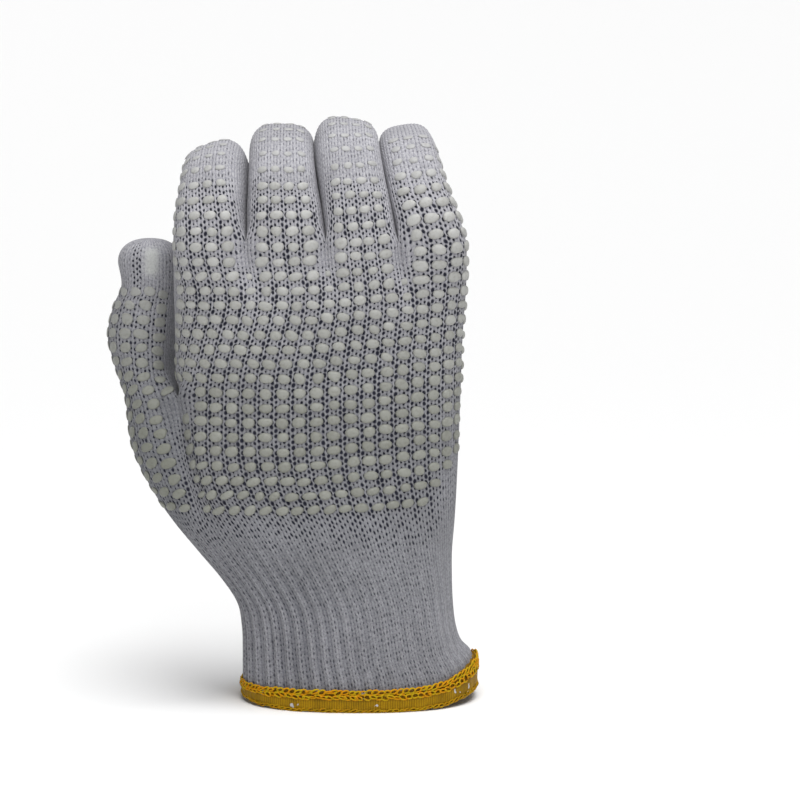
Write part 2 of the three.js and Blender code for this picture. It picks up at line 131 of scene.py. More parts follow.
# The whole outline below the thumb's fork: the four edges of the oval at each height
BODY = table("z left right front back", [
    [0, -39.6, 39.6, -28.0, 27.5],
    [9, -40.0, 38.4, -27.5, 27.0],
    [16, -40.0, 35.0, -27.0, 26.5],
    [24, -40.2, 33.0, -26.5, 26.0],
    [33, -41.9, 32.0, -26.0, 25.5],
    [41, -47.0, 31.7, -25.4, 25.2],
    [50, -54.6, 31.7, -24.8, 25.0],
    [60, -62.9, 32.5, -24.0, 24.2],
    [72, -71.0, 33.2, -23.2, 23.2],
    [86, -77.5, 33.8, -22.2, 21.5],
    [103, -80.8, 34.4, -21.2, 19.0],
])

# The hand without the thumb
HAND = table("z left right front back", [
    [52, -58.0, 32.0, -24.6, 24.6],
    [77, -61.0, 33.4, -22.9, 22.0],
    [103, -62.0, 34.4, -21.2, 18.0],
    [122, -62.0, 35.0, -20.6, 15.5],
    [140, -62.2, 36.1, -20.2, 12.5],
    [155, -62.2, 36.7, -18.2, 9.6],
])

# The thumb, from where it starts to stand out of the hand to where its tip closes
THUMB = table("z x y half_width half_depth", [
    [57, -42.5, 2.0, 18.5, 21.0],
    [82, -62.6, 6.0, 14.0, 17.0],
    [103, -70.9, 9.8, 9.9, 13.6],
    [108, -72.9, 12.2, 9.9, 13.0],
    [114, -74.3, 13.8, 10.7, 12.5],
    [123, -75.0, 15.0, 12.0, 12.0],
    [133, -73.7, 15.0, 11.3, 11.2],
    [140, -71.9, 14.6, 10.2, 10.6],
    [148, -72.1, 14.0, 11.0, 10.0],
])

# The fingers, from the thumb's side outwards
FINGER_NAMES = ("index_finger", "middle_finger", "ring_finger", "little_finger")
FINGERS = table(
    "side depth lean half_width half_depth knuckle_width knuckle_depth tip_width tip_depth"
    " start_angle first_bend middle_angle second_bend tip_angle length roll", [
        [-49.9, -4.3, 0.082, 12.2, 13.9, 10.4, 10.5, 8.9, 8.4, 10, 9.8, 95, 45, 132, 74, -19],
        [-23.9, -4.3, -0.08, 13.1, 13.9, 10.7, 10.9, 9.0, 8.6, 10, 16.0, 97, 52, 136, 84, 2],
        [1.6, -4.3, -0.2, 11.8, 13.9, 10.7, 10.9, 8.9, 8.5, 10, 18.0, 96, 52, 134, 80, 9],
        [25.1, -4.3, -0.285, 11.2, 13.7, 9.7, 9.8, 8.2, 7.8, 13, 12.0, 72, 38, 96, 62, -9],
    ])
FINGER_COUNT = len(FINGER_NAMES)
# The soft cloth of neighbouring fingers closes the gap that their solids leave
FINGER_CUSHION = 0.35
CUSHION_REACH = 8.0
FRONT_WALES = FINGER_WALES * FINGER_COUNT


def smooth(t):
    """Eases from 0 to 1: 3 t squared less 2 t cubed between 0 and 1, and flat outside."""
    c = np.clip(t, 0.0, 1.0)
    return c * c * (3.0 - 2.0 * c)


def past(value, start, reach):
    """How far a value is past a start, eased from 0 to 1 over a reach. A negative reach counts
    downwards."""
    return smooth((value - start) / reach)


def unit(vectors):
    """Vectors of length 1."""
    return vectors / np.linalg.norm(vectors, axis=-1, keepdims=True)


def superellipse(angle, power):
    """The two coordinates of a superellipse of size 1: the cosine and the sine of the angle, each
    raised to 2 over the power, with its sign."""
    c, s = np.cos(angle), np.sin(angle)
    p = 2.0 / power
    return np.sign(c) * np.abs(c) ** p, np.sign(s) * np.abs(s) ** p


def turns(count, start=0.0):
    """Even angles once round. The first one lies at a share of the step between them."""
    return 2 * math.pi * (np.arange(count) + start) / count


def fan(ring, pole):
    """Triangles from each side of a ring to a pole."""
    return np.stack([ring, np.roll(ring, -1), np.full(len(ring), pole)], axis=1)


def length_along(points):
    """The length of a line up to each of its points."""
    return np.pad(np.linalg.norm(np.diff(points, axis=0), axis=1).cumsum(), (1, 0))


def shares_along(points):
    """The share of its whole length up to each point, for a stack of lines."""
    length = np.linalg.norm(np.diff(points, axis=1), axis=2).cumsum(axis=1)
    return np.pad(length, ((0, 0), (1, 0))) / length[:, -1:]


def closed_up(rows):
    """Rows with the first one once more at the end."""
    return np.concatenate([rows, rows[:1]])


def interpolated(at, known, values):
    """Rows of values read at new places, column by column."""
    return np.stack([np.interp(at, known, values[:, k]) for k in range(values.shape[1])], axis=-1)


def read(rows, name, z):
    """A column of a table at the heights z: a cubic Hermite curve through its rows."""
    heights, values = rows["z"], rows[name]
    last = len(heights) - 1
    low = np.maximum(np.arange(last + 1) - 1, 0)
    high = np.minimum(np.arange(last + 1) + 1, last)
    slopes = (values[high] - values[low]) / (heights[high] - heights[low])
    at = np.clip(z, heights[0], heights[last])
    i = np.clip(np.searchsorted(heights, at) - 1, 0, last - 1)
    span = heights[i + 1] - heights[i]
    t = (at - heights[i]) / span
    return (
        values[i] * (2 * t**3 - 3 * t**2 + 1)
        + values[i + 1] * (3 * t**2 - 2 * t**3)
        + span * slopes[i] * (t**3 - 2 * t**2 + t)
        + span * slopes[i + 1] * (t**3 - t**2)
    )


def ovals(x, y, a, b, power):
    """Ovals as columns of numbers: their middles, their half sizes and the power of their shape."""
    x, y, a, b = (np.reshape(values, (-1, 1)) for values in (x, y, a, b))
    return {"x": x, "y": y, "a": a, "b": b, "power": power}


def edged_oval(rows, z):
    """Ovals from their four edges, one for each height."""
    left, right, front, back = (read(rows, name, z) for name in ("left", "right", "front", "back"))
    middle = (left + right) / 2, (front + back) / 2
    return ovals(*middle, (right - left) / 2, (back - front) / 2, HAND_SQUARENESS)


def thumb_oval(z, size=1.0):
    """The thumb's ovals, one for each height, made smaller where the tip closes."""
    x, y, a, b = (read(THUMB, name, z) for name in ("x", "y", "half_width", "half_depth"))
    return ovals(x, y, a * size, b * size, 2.0)


def finger_row(i):
    """One finger's row of the table."""
    return {name: values[i] for name, values in FINGERS.items()}


def finger_root(i):
    """The oval that a finger starts from."""
    f = finger_row(i)
    return ovals(f["side"], f["depth"], f["half_width"], f["half_depth"], FINGER_SQUARENESS)


def on_oval(oval, degrees):
    """Points of a superellipse: 0 degrees is its +X side, 90 the dotted side, 180 its -X side."""
    across, deep = superellipse(np.radians(degrees), oval["power"])
    return np.stack([oval["x"] + oval["a"] * across, oval["y"] - oval["b"] * deep], axis=-1)


def arc(oval, start, end, shares):
    """Points at shares of the length of an arc, from one angle to another, for a stack of ovals."""
    fine = on_oval(oval, np.linspace(start, end, ARC_SAMPLES + 1)[None, :])
    rise = 2.0 * np.arange(len(fine))[:, None]
    wanted = np.clip(shares, 0, 1) + rise
    return interpolated(wanted, (shares_along(fine) + rise).ravel(), fine.reshape(-1, 2))


def even(wales):
    """Shares of an arc with COLUMNS points for each wale, both ends included."""
    return np.linspace(0, 1, wales * COLUMNS + 1)[None, :]


def pulled(points, target, at_start):
    """An arc whose end is moved onto a crease, with the points near that end drawn along."""
    end = points[:, :1] if at_start else points[:, -1:]
    near = 1 - smooth(np.linalg.norm(points - end, axis=2, keepdims=True) / CREASE_REACH)
    return points + (target - end) * near


def joined(ending, starting):
    """Two arcs drawn together at the crease between them. The end of one and the start of the other
    move to the point halfway."""
    crease = (ending[:, -1:] + starting[:, :1]) / 2
    return pulled(ending, crease, False), pulled(starting, crease, True)


def at_height(points, z):
    """Flat rings lifted to their heights."""
    return np.concatenate([points, np.broadcast_to(z[:, None, None], points.shape[:2] + (1,))], axis=2)


def open_ring(parts):
    """Arcs joined to a ring, each without its last point."""
    return np.concatenate([part[:, :-1] for part in parts], axis=1)


# How high above the thumb's fork the wales have slid back into their place
SLIDE_HEIGHT = 42.0


def sliding_ring(oval, z):
    """Points round the whole oval of the hand. At the thumb's fork FORK_SHIFT wales more lie on its
    side than at the fingers, and between them the shares of the oval's length ease over."""
    root = 180 - HAND_CREASE
    start, end = 180 + HAND_CREASE, -root
    fine = on_oval(oval, np.linspace(start, end, 2 * ARC_SAMPLES + 1)[None, :])
    length = shares_along(fine)
    at = np.rint((start - np.array([root, 0.0])) / 360 * 2 * ARC_SAMPLES).astype(int)
    side_end, front_end = length[:, at[:1]], length[:, at[1:]]
    n = np.arange((SIDE_WALES + 2 * FRONT_WALES) * COLUMNS)[None] / COLUMNS
    turn = SIDE_WALES + FRONT_WALES

    def shares(side):
        front = side_end + (n - side) / (turn - side) * (front_end - side_end)
        behind = front_end + (n - turn) / FRONT_WALES * (1 - front_end)
        return np.where(n < side, n / side * side_end, np.where(n < turn, front, behind))

    slid = (1 - past(z, THUMB_FORK, SLIDE_HEIGHT))[:, None]
    mixed = shares(SIDE_WALES) * (1 - slid) + shares(SIDE_WALES + FORK_SHIFT) * slid
    return np.roll(arc(oval, start, end, mixed), -SIDE_WALES * COLUMNS, axis=1)


def hem_lift(x):
    """How much higher than at the front the hem's lower and upper edges lie, from the fourth power
    of the place across the mouth."""
    share = (x / BODY["right"][0]) ** 4
    lift, growth = (share * np.where(x < 0, *sides) for sides in (HEM_LIFTS, HEM_GROWTHS))
    return lift, lift + growth


def lower_rings(z):
    """The rings below the thumb's fork, from the thumb's crease across the dotted side, back
    across the plain side and round the thumb."""
    front = even(FRONT_WALES - FORK_SHIFT)
    plain_side = even(FRONT_WALES)
    thumb_side = even(THUMB_WALES)
    whole = edged_oval(BODY, z)
    rim = 180 - WRIST_CREASE
    plain = [
        arc(whole, rim, 0, front),
        arc(whole, 0, -rim, plain_side),
        arc(whole, -rim, -180, thumb_side),
        arc(whole, 180, rim, thumb_side),
    ]
    hand, thumb = edged_oval(HAND, z), thumb_oval(z)
    root = 180 - HAND_CREASE
    lobes = [
        arc(hand, root, 0, front),
        arc(hand, 0, -root, plain_side),
        arc(thumb, -THUMB_CREASE, -180, thumb_side),
        arc(thumb, 180, THUMB_CREASE, thumb_side),
    ]
    lobes[3], lobes[0] = joined(lobes[3], lobes[0])
    lobes[1], lobes[2] = joined(lobes[1], lobes[2])
    t = past(z - THUMB_FORK, -THUMB_BLEND, THUMB_BLEND)[:, None, None]
    rings = at_height(open_ring([p + (q - p) * t for p, q in zip(plain, lobes)]), z)
    near_hem = 1 - past(rings[..., 2], HEM_HEIGHT, HEM_LIFT_REACH)
    rings[..., 2] += hem_lift(rings[..., 0])[1] * near_hem
    return rings


def creases(i):
    """The angles of a finger's creases from its two sides."""
    left = HAND_CREASE if i == 0 else FINGER_CREASE
    right = 0.0 if i == FINGER_COUNT - 1 else FINGER_CREASE
    return left, right


def hand_rings(z):
    """The rings between the two forks: dotted side, plain side and the side where the thumb left."""
    hand = edged_oval(HAND, z)
    root = 180 - HAND_CREASE
    shares = even(FINGER_WALES)
    dotted, behind = [], []
    for i in range(FINGER_COUNT):
        left, right = creases(i)
        dotted.append(arc(finger_root(i), 180 - left, right, shares))
        behind.append(arc(finger_root(i), -right, left - 180, shares))
    for i in range(FINGER_COUNT - 1):
        dotted[i], dotted[i + 1] = joined(dotted[i], dotted[i + 1])
        behind[i + 1], behind[i] = joined(behind[i + 1], behind[i])
    lobes = [
        np.concatenate([open_ring(dotted), dotted[-1][:, -1:]], axis=1),
        np.concatenate([open_ring(behind[::-1]), behind[0][:, -1:]], axis=1),
        arc(finger_root(0), 180 + HAND_CREASE, root, even(SIDE_WALES)),
    ]
    t = past(z - FINGER_FORK, -FINGER_BLEND, FINGER_BLEND)[:, None, None]
    plain = sliding_ring(hand, z)
    return at_height(plain + (open_ring(lobes) - plain) * t, z)


def middle_line(f, v):
    """The place and the turn of a finger's middle line at the lengths v. The turn eases to the
    start angle, then round the middle knuckle and the last one, and the place is its running sum."""
    fine = np.arange(0, f["length"] + 2 * MIDDLE_STEP, MIDDLE_STEP)
    first = past(fine, f["first_bend"], FIRST_BEND_LENGTH)
    second = past(fine, f["second_bend"], SECOND_BEND_LENGTH)
    turn = np.radians(
        f["start_angle"] * smooth(fine / ROOT_LENGTH)
        + (f["middle_angle"] - f["start_angle"]) * first
        + (f["tip_angle"] - f["middle_angle"]) * second
    )
    steps = np.stack([f["lean"] * np.maximum(np.cos(turn), 0), np.sin(turn), np.cos(turn)]) * MIDDLE_STEP
    places = np.pad(steps.cumsum(axis=1), ((0, 0), (1, 0)))[:, :-1]
    start = (f["side"], f["depth"], FINGER_FORK)
    found = [np.interp(v, fine, place) + at for place, at in zip(places, start)]
    return found + [np.interp(v, fine, turn)]


def taper(f, root, knuckle, tip, v):
    """A half size of a finger along its length, easing from root to knuckle and on to the tip."""
    middle = f["first_bend"] + FIRST_BEND_LENGTH / 2
    up = f[root] + (f[knuckle] - f[root]) * smooth(v / middle)
    down = f[knuckle] + (f[tip] - f[knuckle]) * past(v, middle, f["length"] - middle)
    return np.where(v < middle, up, down)


def dome(share):
    """Rise and size of a closing tip, as shares, round a quarter of a superellipse."""
    size, rise = superellipse(np.clip(share, 0, 1) * math.pi / 2, TIP_SQUARENESS)
    return rise, size


def finger_rings(i, v):
    """The rings of a finger at the lengths v along it: ovals carried along the bent middle line."""
    f = finger_row(i)
    tip_start = f["length"] - f["tip_width"]
    rise, size = dome((v - tip_start) / (f["tip_width"] * math.pi / 2))
    along = np.minimum(v, tip_start)
    x, y, z, turn = (values[:, None] for values in middle_line(f, along))
    cushion = FINGER_CUSHION * smooth(along / CUSHION_REACH)
    wide = (taper(f, "half_width", "knuckle_width", "tip_width", along) + cushion) * size
    deep = taper(f, "half_depth", "knuckle_depth", "tip_depth", along) * size
    oval = ovals(0 * v, 0 * v, wide, deep, FINGER_SQUARENESS)
    left, right = creases(i)
    parts = [arc(oval, 180 - left, right, even(FINGER_WALES))]
    if right > 0:
        parts.append(arc(oval, right, -right, even(WEB_WALES)))
    parts.append(arc(oval, -right, left - 180, even(FINGER_WALES)))
    parts.append(arc(oval, 180 + left, 180 - left, even(SIDE_WALES if i == 0 else WEB_WALES)))
    flat = open_ring(parts)
    roll = np.radians(f["roll"] * smooth(v / (f["first_bend"] + FIRST_BEND_LENGTH / 2)))[:, None]
    across = flat[..., 0] * np.cos(roll) - flat[..., 1] * np.sin(roll)
    deep = flat[..., 0] * np.sin(roll) + flat[..., 1] * np.cos(roll)
    lift = (rise * f["tip_width"])[:, None]
    cos, sin = np.cos(turn), np.sin(turn)
    return np.stack([x + across, y + deep * cos + lift * sin, z - deep * sin + lift * cos], axis=-1)


def finger_pole(i):
    """The last point of a fingertip."""
    f = finger_row(i)
    x, y, z, turn = middle_line(f, f["length"] - f["tip_width"])
    return np.array([x, y + f["tip_width"] * math.sin(turn), z + f["tip_width"] * math.cos(turn)])


def thumb_rings(z):
    """The rings of the thumb. Past THUMB_TIP_START they close as a dome."""
    rise, size = dome((z - THUMB_TIP_START) / THUMB_TIP_RISE)
    oval = thumb_oval(np.minimum(z, THUMB_TIP_START), size)
    height = np.minimum(z, THUMB_TIP_START) + THUMB_TIP_RISE * rise
    side = even(SIDE_WALES + FORK_SHIFT)
    parts = [
        arc(oval, -THUMB_CREASE, -180, even(THUMB_WALES)),
        arc(oval, 180, THUMB_CREASE, even(THUMB_WALES)),
        arc(oval, THUMB_CREASE, -THUMB_CREASE, side),
    ]
    return at_height(open_ring(parts), height)


# How open the knit is, from 0, closed, to 1, with wide holes. Then where it changes, most often as
# a start and a reach: up the hand, on the bent fingers, round the poles, at the low outer edge, at
# the forks, on the thumb's tip, on the thumb's side, and at the worn patch with its line of holes.
OPEN_CUFF = 0.3
OPEN_PLAIN = 0.45
OPEN_WEB = 0.3
OPEN_TIP = 0.22
OPEN_NEEDLE = 1.3
OPEN_RISE = (50.0, 22.0)
TOP_RISE = (164.0, 17.0)
POLE_BARE = (4.5, 6.0)
EDGE_WIDTH = (-9.0, 6.0)
EDGE_FADE = (95.0, 20.0)
CROTCH_REACH = 6.5
CROTCH_DROP = 4.5
THUMB_EDGE = (-63.5, -2.0)
THUMB_TOP = (134.0, 7.0)
SIDE = (-54.0, -10.0)
NEEDLE_LINE = -75.9
NEEDLE_REACH = 1.6
PATCH_LOW = (-74.4, 142.5)
PATCH_HIGH = (-66.8, 154.5)
PATCH_SOFT = 3.2

# By what share the knit closes below the forks, on the bent fingers, on the thumb's side and at
# the low outer edge
FORK_CLOSES = 0.9
TOP_CLOSES = 0.78
SIDE_CLOSES = 0.5
EDGE_CLOSES = 0.7

# Painted shade on the cloth and the dots, darker lower down: the height and reach over which it
# fades, and the shares on the cuff, the heel and the thumb's side
PAINTED_SHADE_FADE = (85.0, 80.0)
PAINTED_SHADE_CUFF = 0.9
PAINTED_SHADE_HEEL = 0.25
HEEL = (24.0, 22.0)
PAINTED_SHADE_SIDE = 0.45

# How far the course coordinate runs on from the last ring to the pole
POLE_COURSE = 0.3

# The relief of the knit
RELIEF_CLOSED = 0.2
RELIEF_OPEN = 0.36
WALE_DEPTH = 0.55
HOLE_DEPTH = 0.45
LOOSE_PITCH = 1.2
TIGHT_PITCH = 0.5
WORN_SMOOTH = 0.9

# The ribs: they fade out upwards, and across the dotted side away from the thumb
RIB_WALES = 4
RIB_DEPTH = 0.9
RIB_FADE = (66.0, -34.0)
RIB_LEAST = 0.45
RIB_WALE_FADE = (46, -30)
RIB_BEHIND = 0.9

# The rows of stitches run lower away from the thumb, on the dotted side and above the cuff
ROW_TILT = 0.09
TILT_START = -18.0
TILT_RISE = (45.0, 40.0)
TILT_DEPTH = (-6.0, 12.0)


def part_labels(*parts):
    """One name for each point of an open ring, from names and their numbers of wales."""
    return np.concatenate([np.full(wales * COLUMNS, name) for name, wales in parts])


def stitches(*parts):
    """The wale coordinate of the left and right edge of each column, from the first wale of each
    part of a ring and its number of wales."""
    left = np.concatenate([first + np.arange(wales * COLUMNS) / COLUMNS for first, wales in parts])
    return np.stack([left, left + 1 / COLUMNS], axis=1)


class Skin:
    """The whole cloth: its points and their stitch coordinates, and its patches of closed rings."""

    def __init__(self):
        self.points = np.zeros((0, 3))
        self.course = np.zeros(0)
        self.wale = np.zeros(0)
        self.label = np.zeros(0, "U8")
        self.patches = {}

    def ids(self, name):
        """The numbers of a patch's points, ring by ring."""
        return self.patches[name]["ids"]

    def add(self, points, course):
        """Adds points and returns their numbers in the same shape."""
        first = len(self.points)
        self.points = np.concatenate([self.points, points.reshape(-1, 3)])
        self.course = np.concatenate([self.course, np.ravel(course)])
        return first + np.arange(np.size(course)).reshape(np.shape(course))

    def web(self, start, end, wales):
        """New points straight between two others, ends left out."""
        share = np.arange(1, wales * COLUMNS) / (wales * COLUMNS)
        line = self.points[start] + (self.points[end] - self.points[start]) * share[:, None]
        return self.add(line, self.course[start] + (self.course[end] - self.course[start]) * share)

    def grow(self, name, first, rings, distance, fade, wales, labels, pole):
        """A branch from its first ring to its pole. What that ring differs from the branch's own
        fades out."""
        residue = self.points[first] - rings[0]
        rings = rings + residue * (1 - smooth(distance / fade))[:, None, None]
        lengths = np.linalg.norm(np.diff(rings, axis=0), axis=2).cumsum(axis=0)
        course = self.course[first] + (distance[1:, None] + lengths) / 2 / COURSE
        ids = np.concatenate([first[None], self.add(rings[1:], course)])
        tip = self.add(pole[None], course[-1, :1] + POLE_COURSE)
        self.patches[name] = {"ids": ids, "wales": wales, "labels": labels, "pole": int(tip[0])}


def heights(start, end, close=False):
    """Even heights about one row of the mesh apart, without the last one where a tip closes."""
    count = round((end - start) / (COURSE / ROWS * (TIP_SPACING if close else 1)))
    found = np.linspace(start, end, count + 1)
    return found[:-1] if close else found


def up_to_tip(stops, size):
    """Heights from stop to stop, and then over a tip's dome: a quarter turn of its size."""
    steps = [heights(low, high)[1:] for low, high in zip(stops[:-1], stops[1:])]
    over = heights(stops[-1], stops[-1] + size * math.pi / 2, True)[1:]
    return np.concatenate([stops[:1], *steps, over])


def row_course(points):
    """The course coordinate below the fingers: the height, less the tilt of the rows."""
    x, y, z = np.moveaxis(points, -1, 0)
    tilt = ROW_TILT * np.maximum(x - TILT_START, 0) * past(z, *TILT_RISE)
    tilt = tilt * (1 - past(y, *TILT_DEPTH))
    return (z - tilt) / COURSE


def build_skin():
    """The cloth as patches: body, hand, thumb and four fingers, which share their fork's points."""
    skin = Skin()
    body_z = np.concatenate([heights(CLOTH_BOTTOM, CUFF_TOP)[:-1], heights(CUFF_TOP, THUMB_FORK)])
    rings = lower_rings(body_z)
    body = skin.add(rings, row_course(rings))
    skin.patches["body"] = {
        "ids": body,
        "wales": stitches((FORK_SHIFT, 2 * FRONT_WALES + 2 * THUMB_WALES - FORK_SHIFT)),
        "labels": part_labels(("dotted", FRONT_WALES - FORK_SHIFT), ("plain", FRONT_WALES + THUMB_WALES),
                              ("dotted", THUMB_WALES)),
        "cuff_row": int(np.argmin(np.abs(body_z - CUFF_TOP))),
    }
    both = 2 * FRONT_WALES
    behind = (both - FORK_SHIFT) * COLUMNS
    top = body[-1]
    web = skin.web(top[behind], top[0], SIDE_WALES + FORK_SHIFT)
    from_web = SIDE_WALES * COLUMNS - 1

    hand_z = heights(THUMB_FORK, FINGER_FORK)
    first = np.concatenate([web[from_web:], top[:behind + 1], web[:from_web]])
    rings = hand_rings(hand_z)
    fade = 1 - past(hand_z, THUMB_FORK, THUMB_FADE)
    rings = rings + (skin.points[first] - rings[0]) * fade[:, None, None]
    hand = np.concatenate([first[None], skin.add(rings[1:], row_course(rings[1:]))])
    skin.patches["hand"] = {
        "ids": hand,
        "wales": stitches((0, both), (both, SIDE_WALES)),
        "labels": part_labels(("dotted", FRONT_WALES), ("plain", FRONT_WALES), ("web", SIDE_WALES)),
    }

    thumb_z = up_to_tip((THUMB_FORK, THUMB_FORK + FORK_SKIRT, THUMB_TIP_START), THUMB_TIP_RISE)
    over = (thumb_z - THUMB_TIP_START) / (math.pi / 2)
    thumb_at = np.where(thumb_z > THUMB_TIP_START, THUMB_TIP_START + over, thumb_z)
    tip = thumb_oval(np.array([THUMB_TIP_START]))
    pole = np.array([tip["x"][0, 0], tip["y"][0, 0], THUMB_TIP_START + THUMB_TIP_RISE])
    skin.grow(
        "thumb", np.concatenate([top[behind:], top[:1], web[::-1]]), thumb_rings(thumb_at),
        thumb_z - THUMB_FORK, THUMB_FADE,
        stitches((both, 2 * THUMB_WALES), (both + 2 * THUMB_WALES, SIDE_WALES + FORK_SHIFT)),
        part_labels(("plain", THUMB_WALES), ("dotted", THUMB_WALES), ("web", SIDE_WALES + FORK_SHIFT)),
        pole)

    wide = FINGER_WALES * COLUMNS
    turn = both * COLUMNS
    top = hand[-1]
    webs = [skin.web(top[(i + 1) * wide], top[turn - (i + 1) * wide], WEB_WALES)
            for i in range(FINGER_COUNT - 1)]
    for i, name in enumerate(FINGER_NAMES):
        is_last = i == FINGER_COUNT - 1
        side_wales = SIDE_WALES if i == 0 else WEB_WALES
        low, high = i * FINGER_WALES, (i + 1) * FINGER_WALES
        behind = turn - (i + 1) * wide
        first = np.concatenate([
            top[i * wide:(i + 1) * wide + (0 if is_last else 1)],
            webs[i] if not is_last else top[:0],
            top[behind:behind + wide + 1],
            top[turn + 1:] if i == 0 else webs[i - 1][::-1],
        ])
        length = FINGERS["length"][i]
        width = FINGERS["tip_width"][i]
        v = up_to_tip((0, FORK_SKIRT, length - width), width)
        counts = (FINGER_WALES, WEB_WALES, FINGER_WALES, side_wales)
        parts = list(zip((low, high, both - high, both - low), counts))
        labels = list(zip(("dotted", "web", "plain", "web"), counts))
        if is_last:
            del parts[1], labels[1]
        skin.grow(name, first, finger_rings(i, v), v, FINGER_FADE, stitches(*parts),
                  part_labels(*labels), finger_pole(i))
    return skin


def corners(ids):
    """The four corner numbers of each quad of a patch of closed rings."""
    low, high = ids[:-1], ids[1:]
    return np.stack([low, np.roll(low, -1, axis=1), np.roll(high, -1, axis=1), high], axis=-1)


def point_normals(points, skin):
    """Smooth normals: the cross products of the quads' diagonals, summed at their corners."""
    total = np.zeros((len(points), 3))
    for patch in skin.patches.values():
        quads = corners(patch["ids"]).reshape(-1, 4)
        across = points[quads[:, 2]] - points[quads[:, 0]]
        up = points[quads[:, 3]] - points[quads[:, 1]]
        normal = np.cross(across, up)
        for axis in range(3):
            total[:, axis] += np.bincount(
                quads.ravel(), np.repeat(normal[:, axis], 4), minlength=len(points))
        if "pole" in patch:
            ring = points[patch["ids"][-1]]
            pole = points[patch["pole"]]
            total[patch["pole"]] += np.cross(np.roll(ring, -1, axis=0) - ring, pole - ring).sum(axis=0)
    return total / np.maximum(np.linalg.norm(total, axis=1, keepdims=True), 1e-9)


def fork_points(skin):
    """The deepest points of the forks on the dotted side: between the fingers, then at the thumb."""
    last = skin.ids("hand")[-1]
    between = [skin.points[last[(i + 1) * FINGER_WALES * COLUMNS]] for i in range(FINGER_COUNT - 1)]
    return between + [skin.points[skin.ids("body")[-1, 0]]]


def knit_openness(skin):
    """How open the knit is at each point: by side and height, and closed in the webs, below the
    forks, on the bent fingers, on the thumb's side, at the low outer edge, at the poles and on the
    thumb's tip, but for one line of holes beside its worn patch."""
    p = skin.points
    x_all, z_all = p[:, 0], p[:, 2]
    dotted = skin.label == "dotted"
    rise = past(z_all, *OPEN_RISE)
    value = OPEN_CUFF + (np.where(dotted, 1, OPEN_PLAIN) - OPEN_CUFF) * rise
    value = np.where(skin.label == "web", OPEN_WEB, value)
    for fork in fork_points(skin):
        below = np.linalg.norm(p - fork + [0, 0, CROTCH_DROP], axis=1)
        value *= 1 - FORK_CLOSES * np.exp(-((below / CROTCH_REACH) ** 2))
    top = z_all.copy()
    for name in FINGER_NAMES:
        ids = skin.ids(name)
        top[ids] = np.maximum.accumulate(z_all[ids], axis=0)
    value *= 1 - TOP_CLOSES * past(top, *TOP_RISE)
    value *= 1 - SIDE_CLOSES * past(x_all, *SIDE)
    edge = np.zeros(len(p))
    for name in ("body", "hand"):
        ids = skin.ids(name)
        x, z = x_all[ids], z_all[ids]
        near = past(x - x.max(axis=1, keepdims=True), *EDGE_WIDTH)
        edge[ids] = near * (1 - past(z, *EDGE_FADE))
    value *= 1 - EDGE_CLOSES * edge
    thumb = past(x_all, *THUMB_EDGE) * past(z_all, *THUMB_TOP)
    line = np.exp(-(((x_all - NEEDLE_LINE) / NEEDLE_REACH) ** 4)) * dotted
    value = value * (1 - thumb) + thumb * np.maximum(OPEN_TIP, OPEN_NEEDLE * line)
    skin.worn = 1.0 * dotted
    for place, low, high in zip((x_all, z_all), PATCH_LOW, PATCH_HIGH):
        skin.worn *= past(place, low, PATCH_SOFT) * past(place, high, -PATCH_SOFT)
    for name in FINGER_NAMES + ("thumb",):
        pole = p[skin.patches[name]["pole"]]
        value *= past(np.linalg.norm(p - pole, axis=1), *POLE_BARE)
    return value * (1 - skin.worn)


def dullness(points):
    """How much painted shade the cloth and the dots get: 0 at the fingers, about 1 below the thumb, a
    little less on the cuff, and more on the thumb's side."""
    z = points[:, 2]
    low = PAINTED_SHADE_CUFF + PAINTED_SHADE_HEEL * past(z, *HEEL)
    return low * (1 - past(z, *PAINTED_SHADE_FADE)) + PAINTED_SHADE_SIDE * past(points[:, 0], *SIDE)


def finish_skin(skin):
    """Gives the skin its labels, smooth normals, relief and the two sides of its wall.

    The relief sinks the surface between the wales by a cosine of u, and more at the holes by a
    cosine of v, half a stitch apart from one wale to the next. The ribs sink it by a cosine of a
    fraction of u, most on the cuff."""
    skin.wale = np.zeros(len(skin.points))
    skin.label = np.full(len(skin.points), "web", "U8")
    pitch = np.full(len(skin.points), TIGHT_PITCH)
    for patch in reversed(list(skin.patches.values())):
        ids = patch["ids"]
        skin.wale[ids] = patch["wales"][None, :, 0]
        skin.label[ids] = patch["labels"][None]
        ring = skin.points[ids]
        step = np.roll(ring, -1, axis=1) - np.roll(ring, 1, axis=1)
        pitch[ids] = np.linalg.norm(step, axis=2) * COLUMNS / 2
    normals = point_normals(skin.points, skin)
    openness = knit_openness(skin)
    ridge = 0.5 + 0.5 * np.cos(2 * math.pi * skin.wale)
    stagger = np.floor(skin.wale) % 2 / 2
    bridge = 0.5 + 0.5 * np.cos(2 * math.pi * (skin.course + stagger))
    depth = (1 - ridge) * (WALE_DEPTH + HOLE_DEPTH * (1 - bridge) * openness)
    relief = (RELIEF_CLOSED + RELIEF_OPEN * openness) * np.clip(pitch / LOOSE_PITCH, 0, 1)
    relief = relief * depth * (1 - WORN_SMOOTH * skin.worn)
    fall = past(skin.points[:, 2], *RIB_FADE)
    front = RIB_LEAST + (1 - RIB_LEAST) * past(skin.wale, *RIB_WALE_FADE)
    where = np.where(skin.wale < FRONT_WALES, front, RIB_BEHIND)
    # How deep the ribs' grooves are; the material also darkens these grooves with painted shade
    skin.rib = fall * where * (0.5 - 0.5 * np.cos(2 * math.pi * skin.wale / RIB_WALES))
    rib = RIB_DEPTH * skin.rib
    skin.openness = openness
    # Painted shade: darker lower down and on the thumb's side
    skin.dull = dullness(skin.points)
    skin.smooth_normals = normals
    skin.inner = skin.points - normals * WALL
    skin.outer = skin.points - normals * (relief + rib)[:, None]
    skin.normals = point_normals(skin.outer, skin)
    return skin


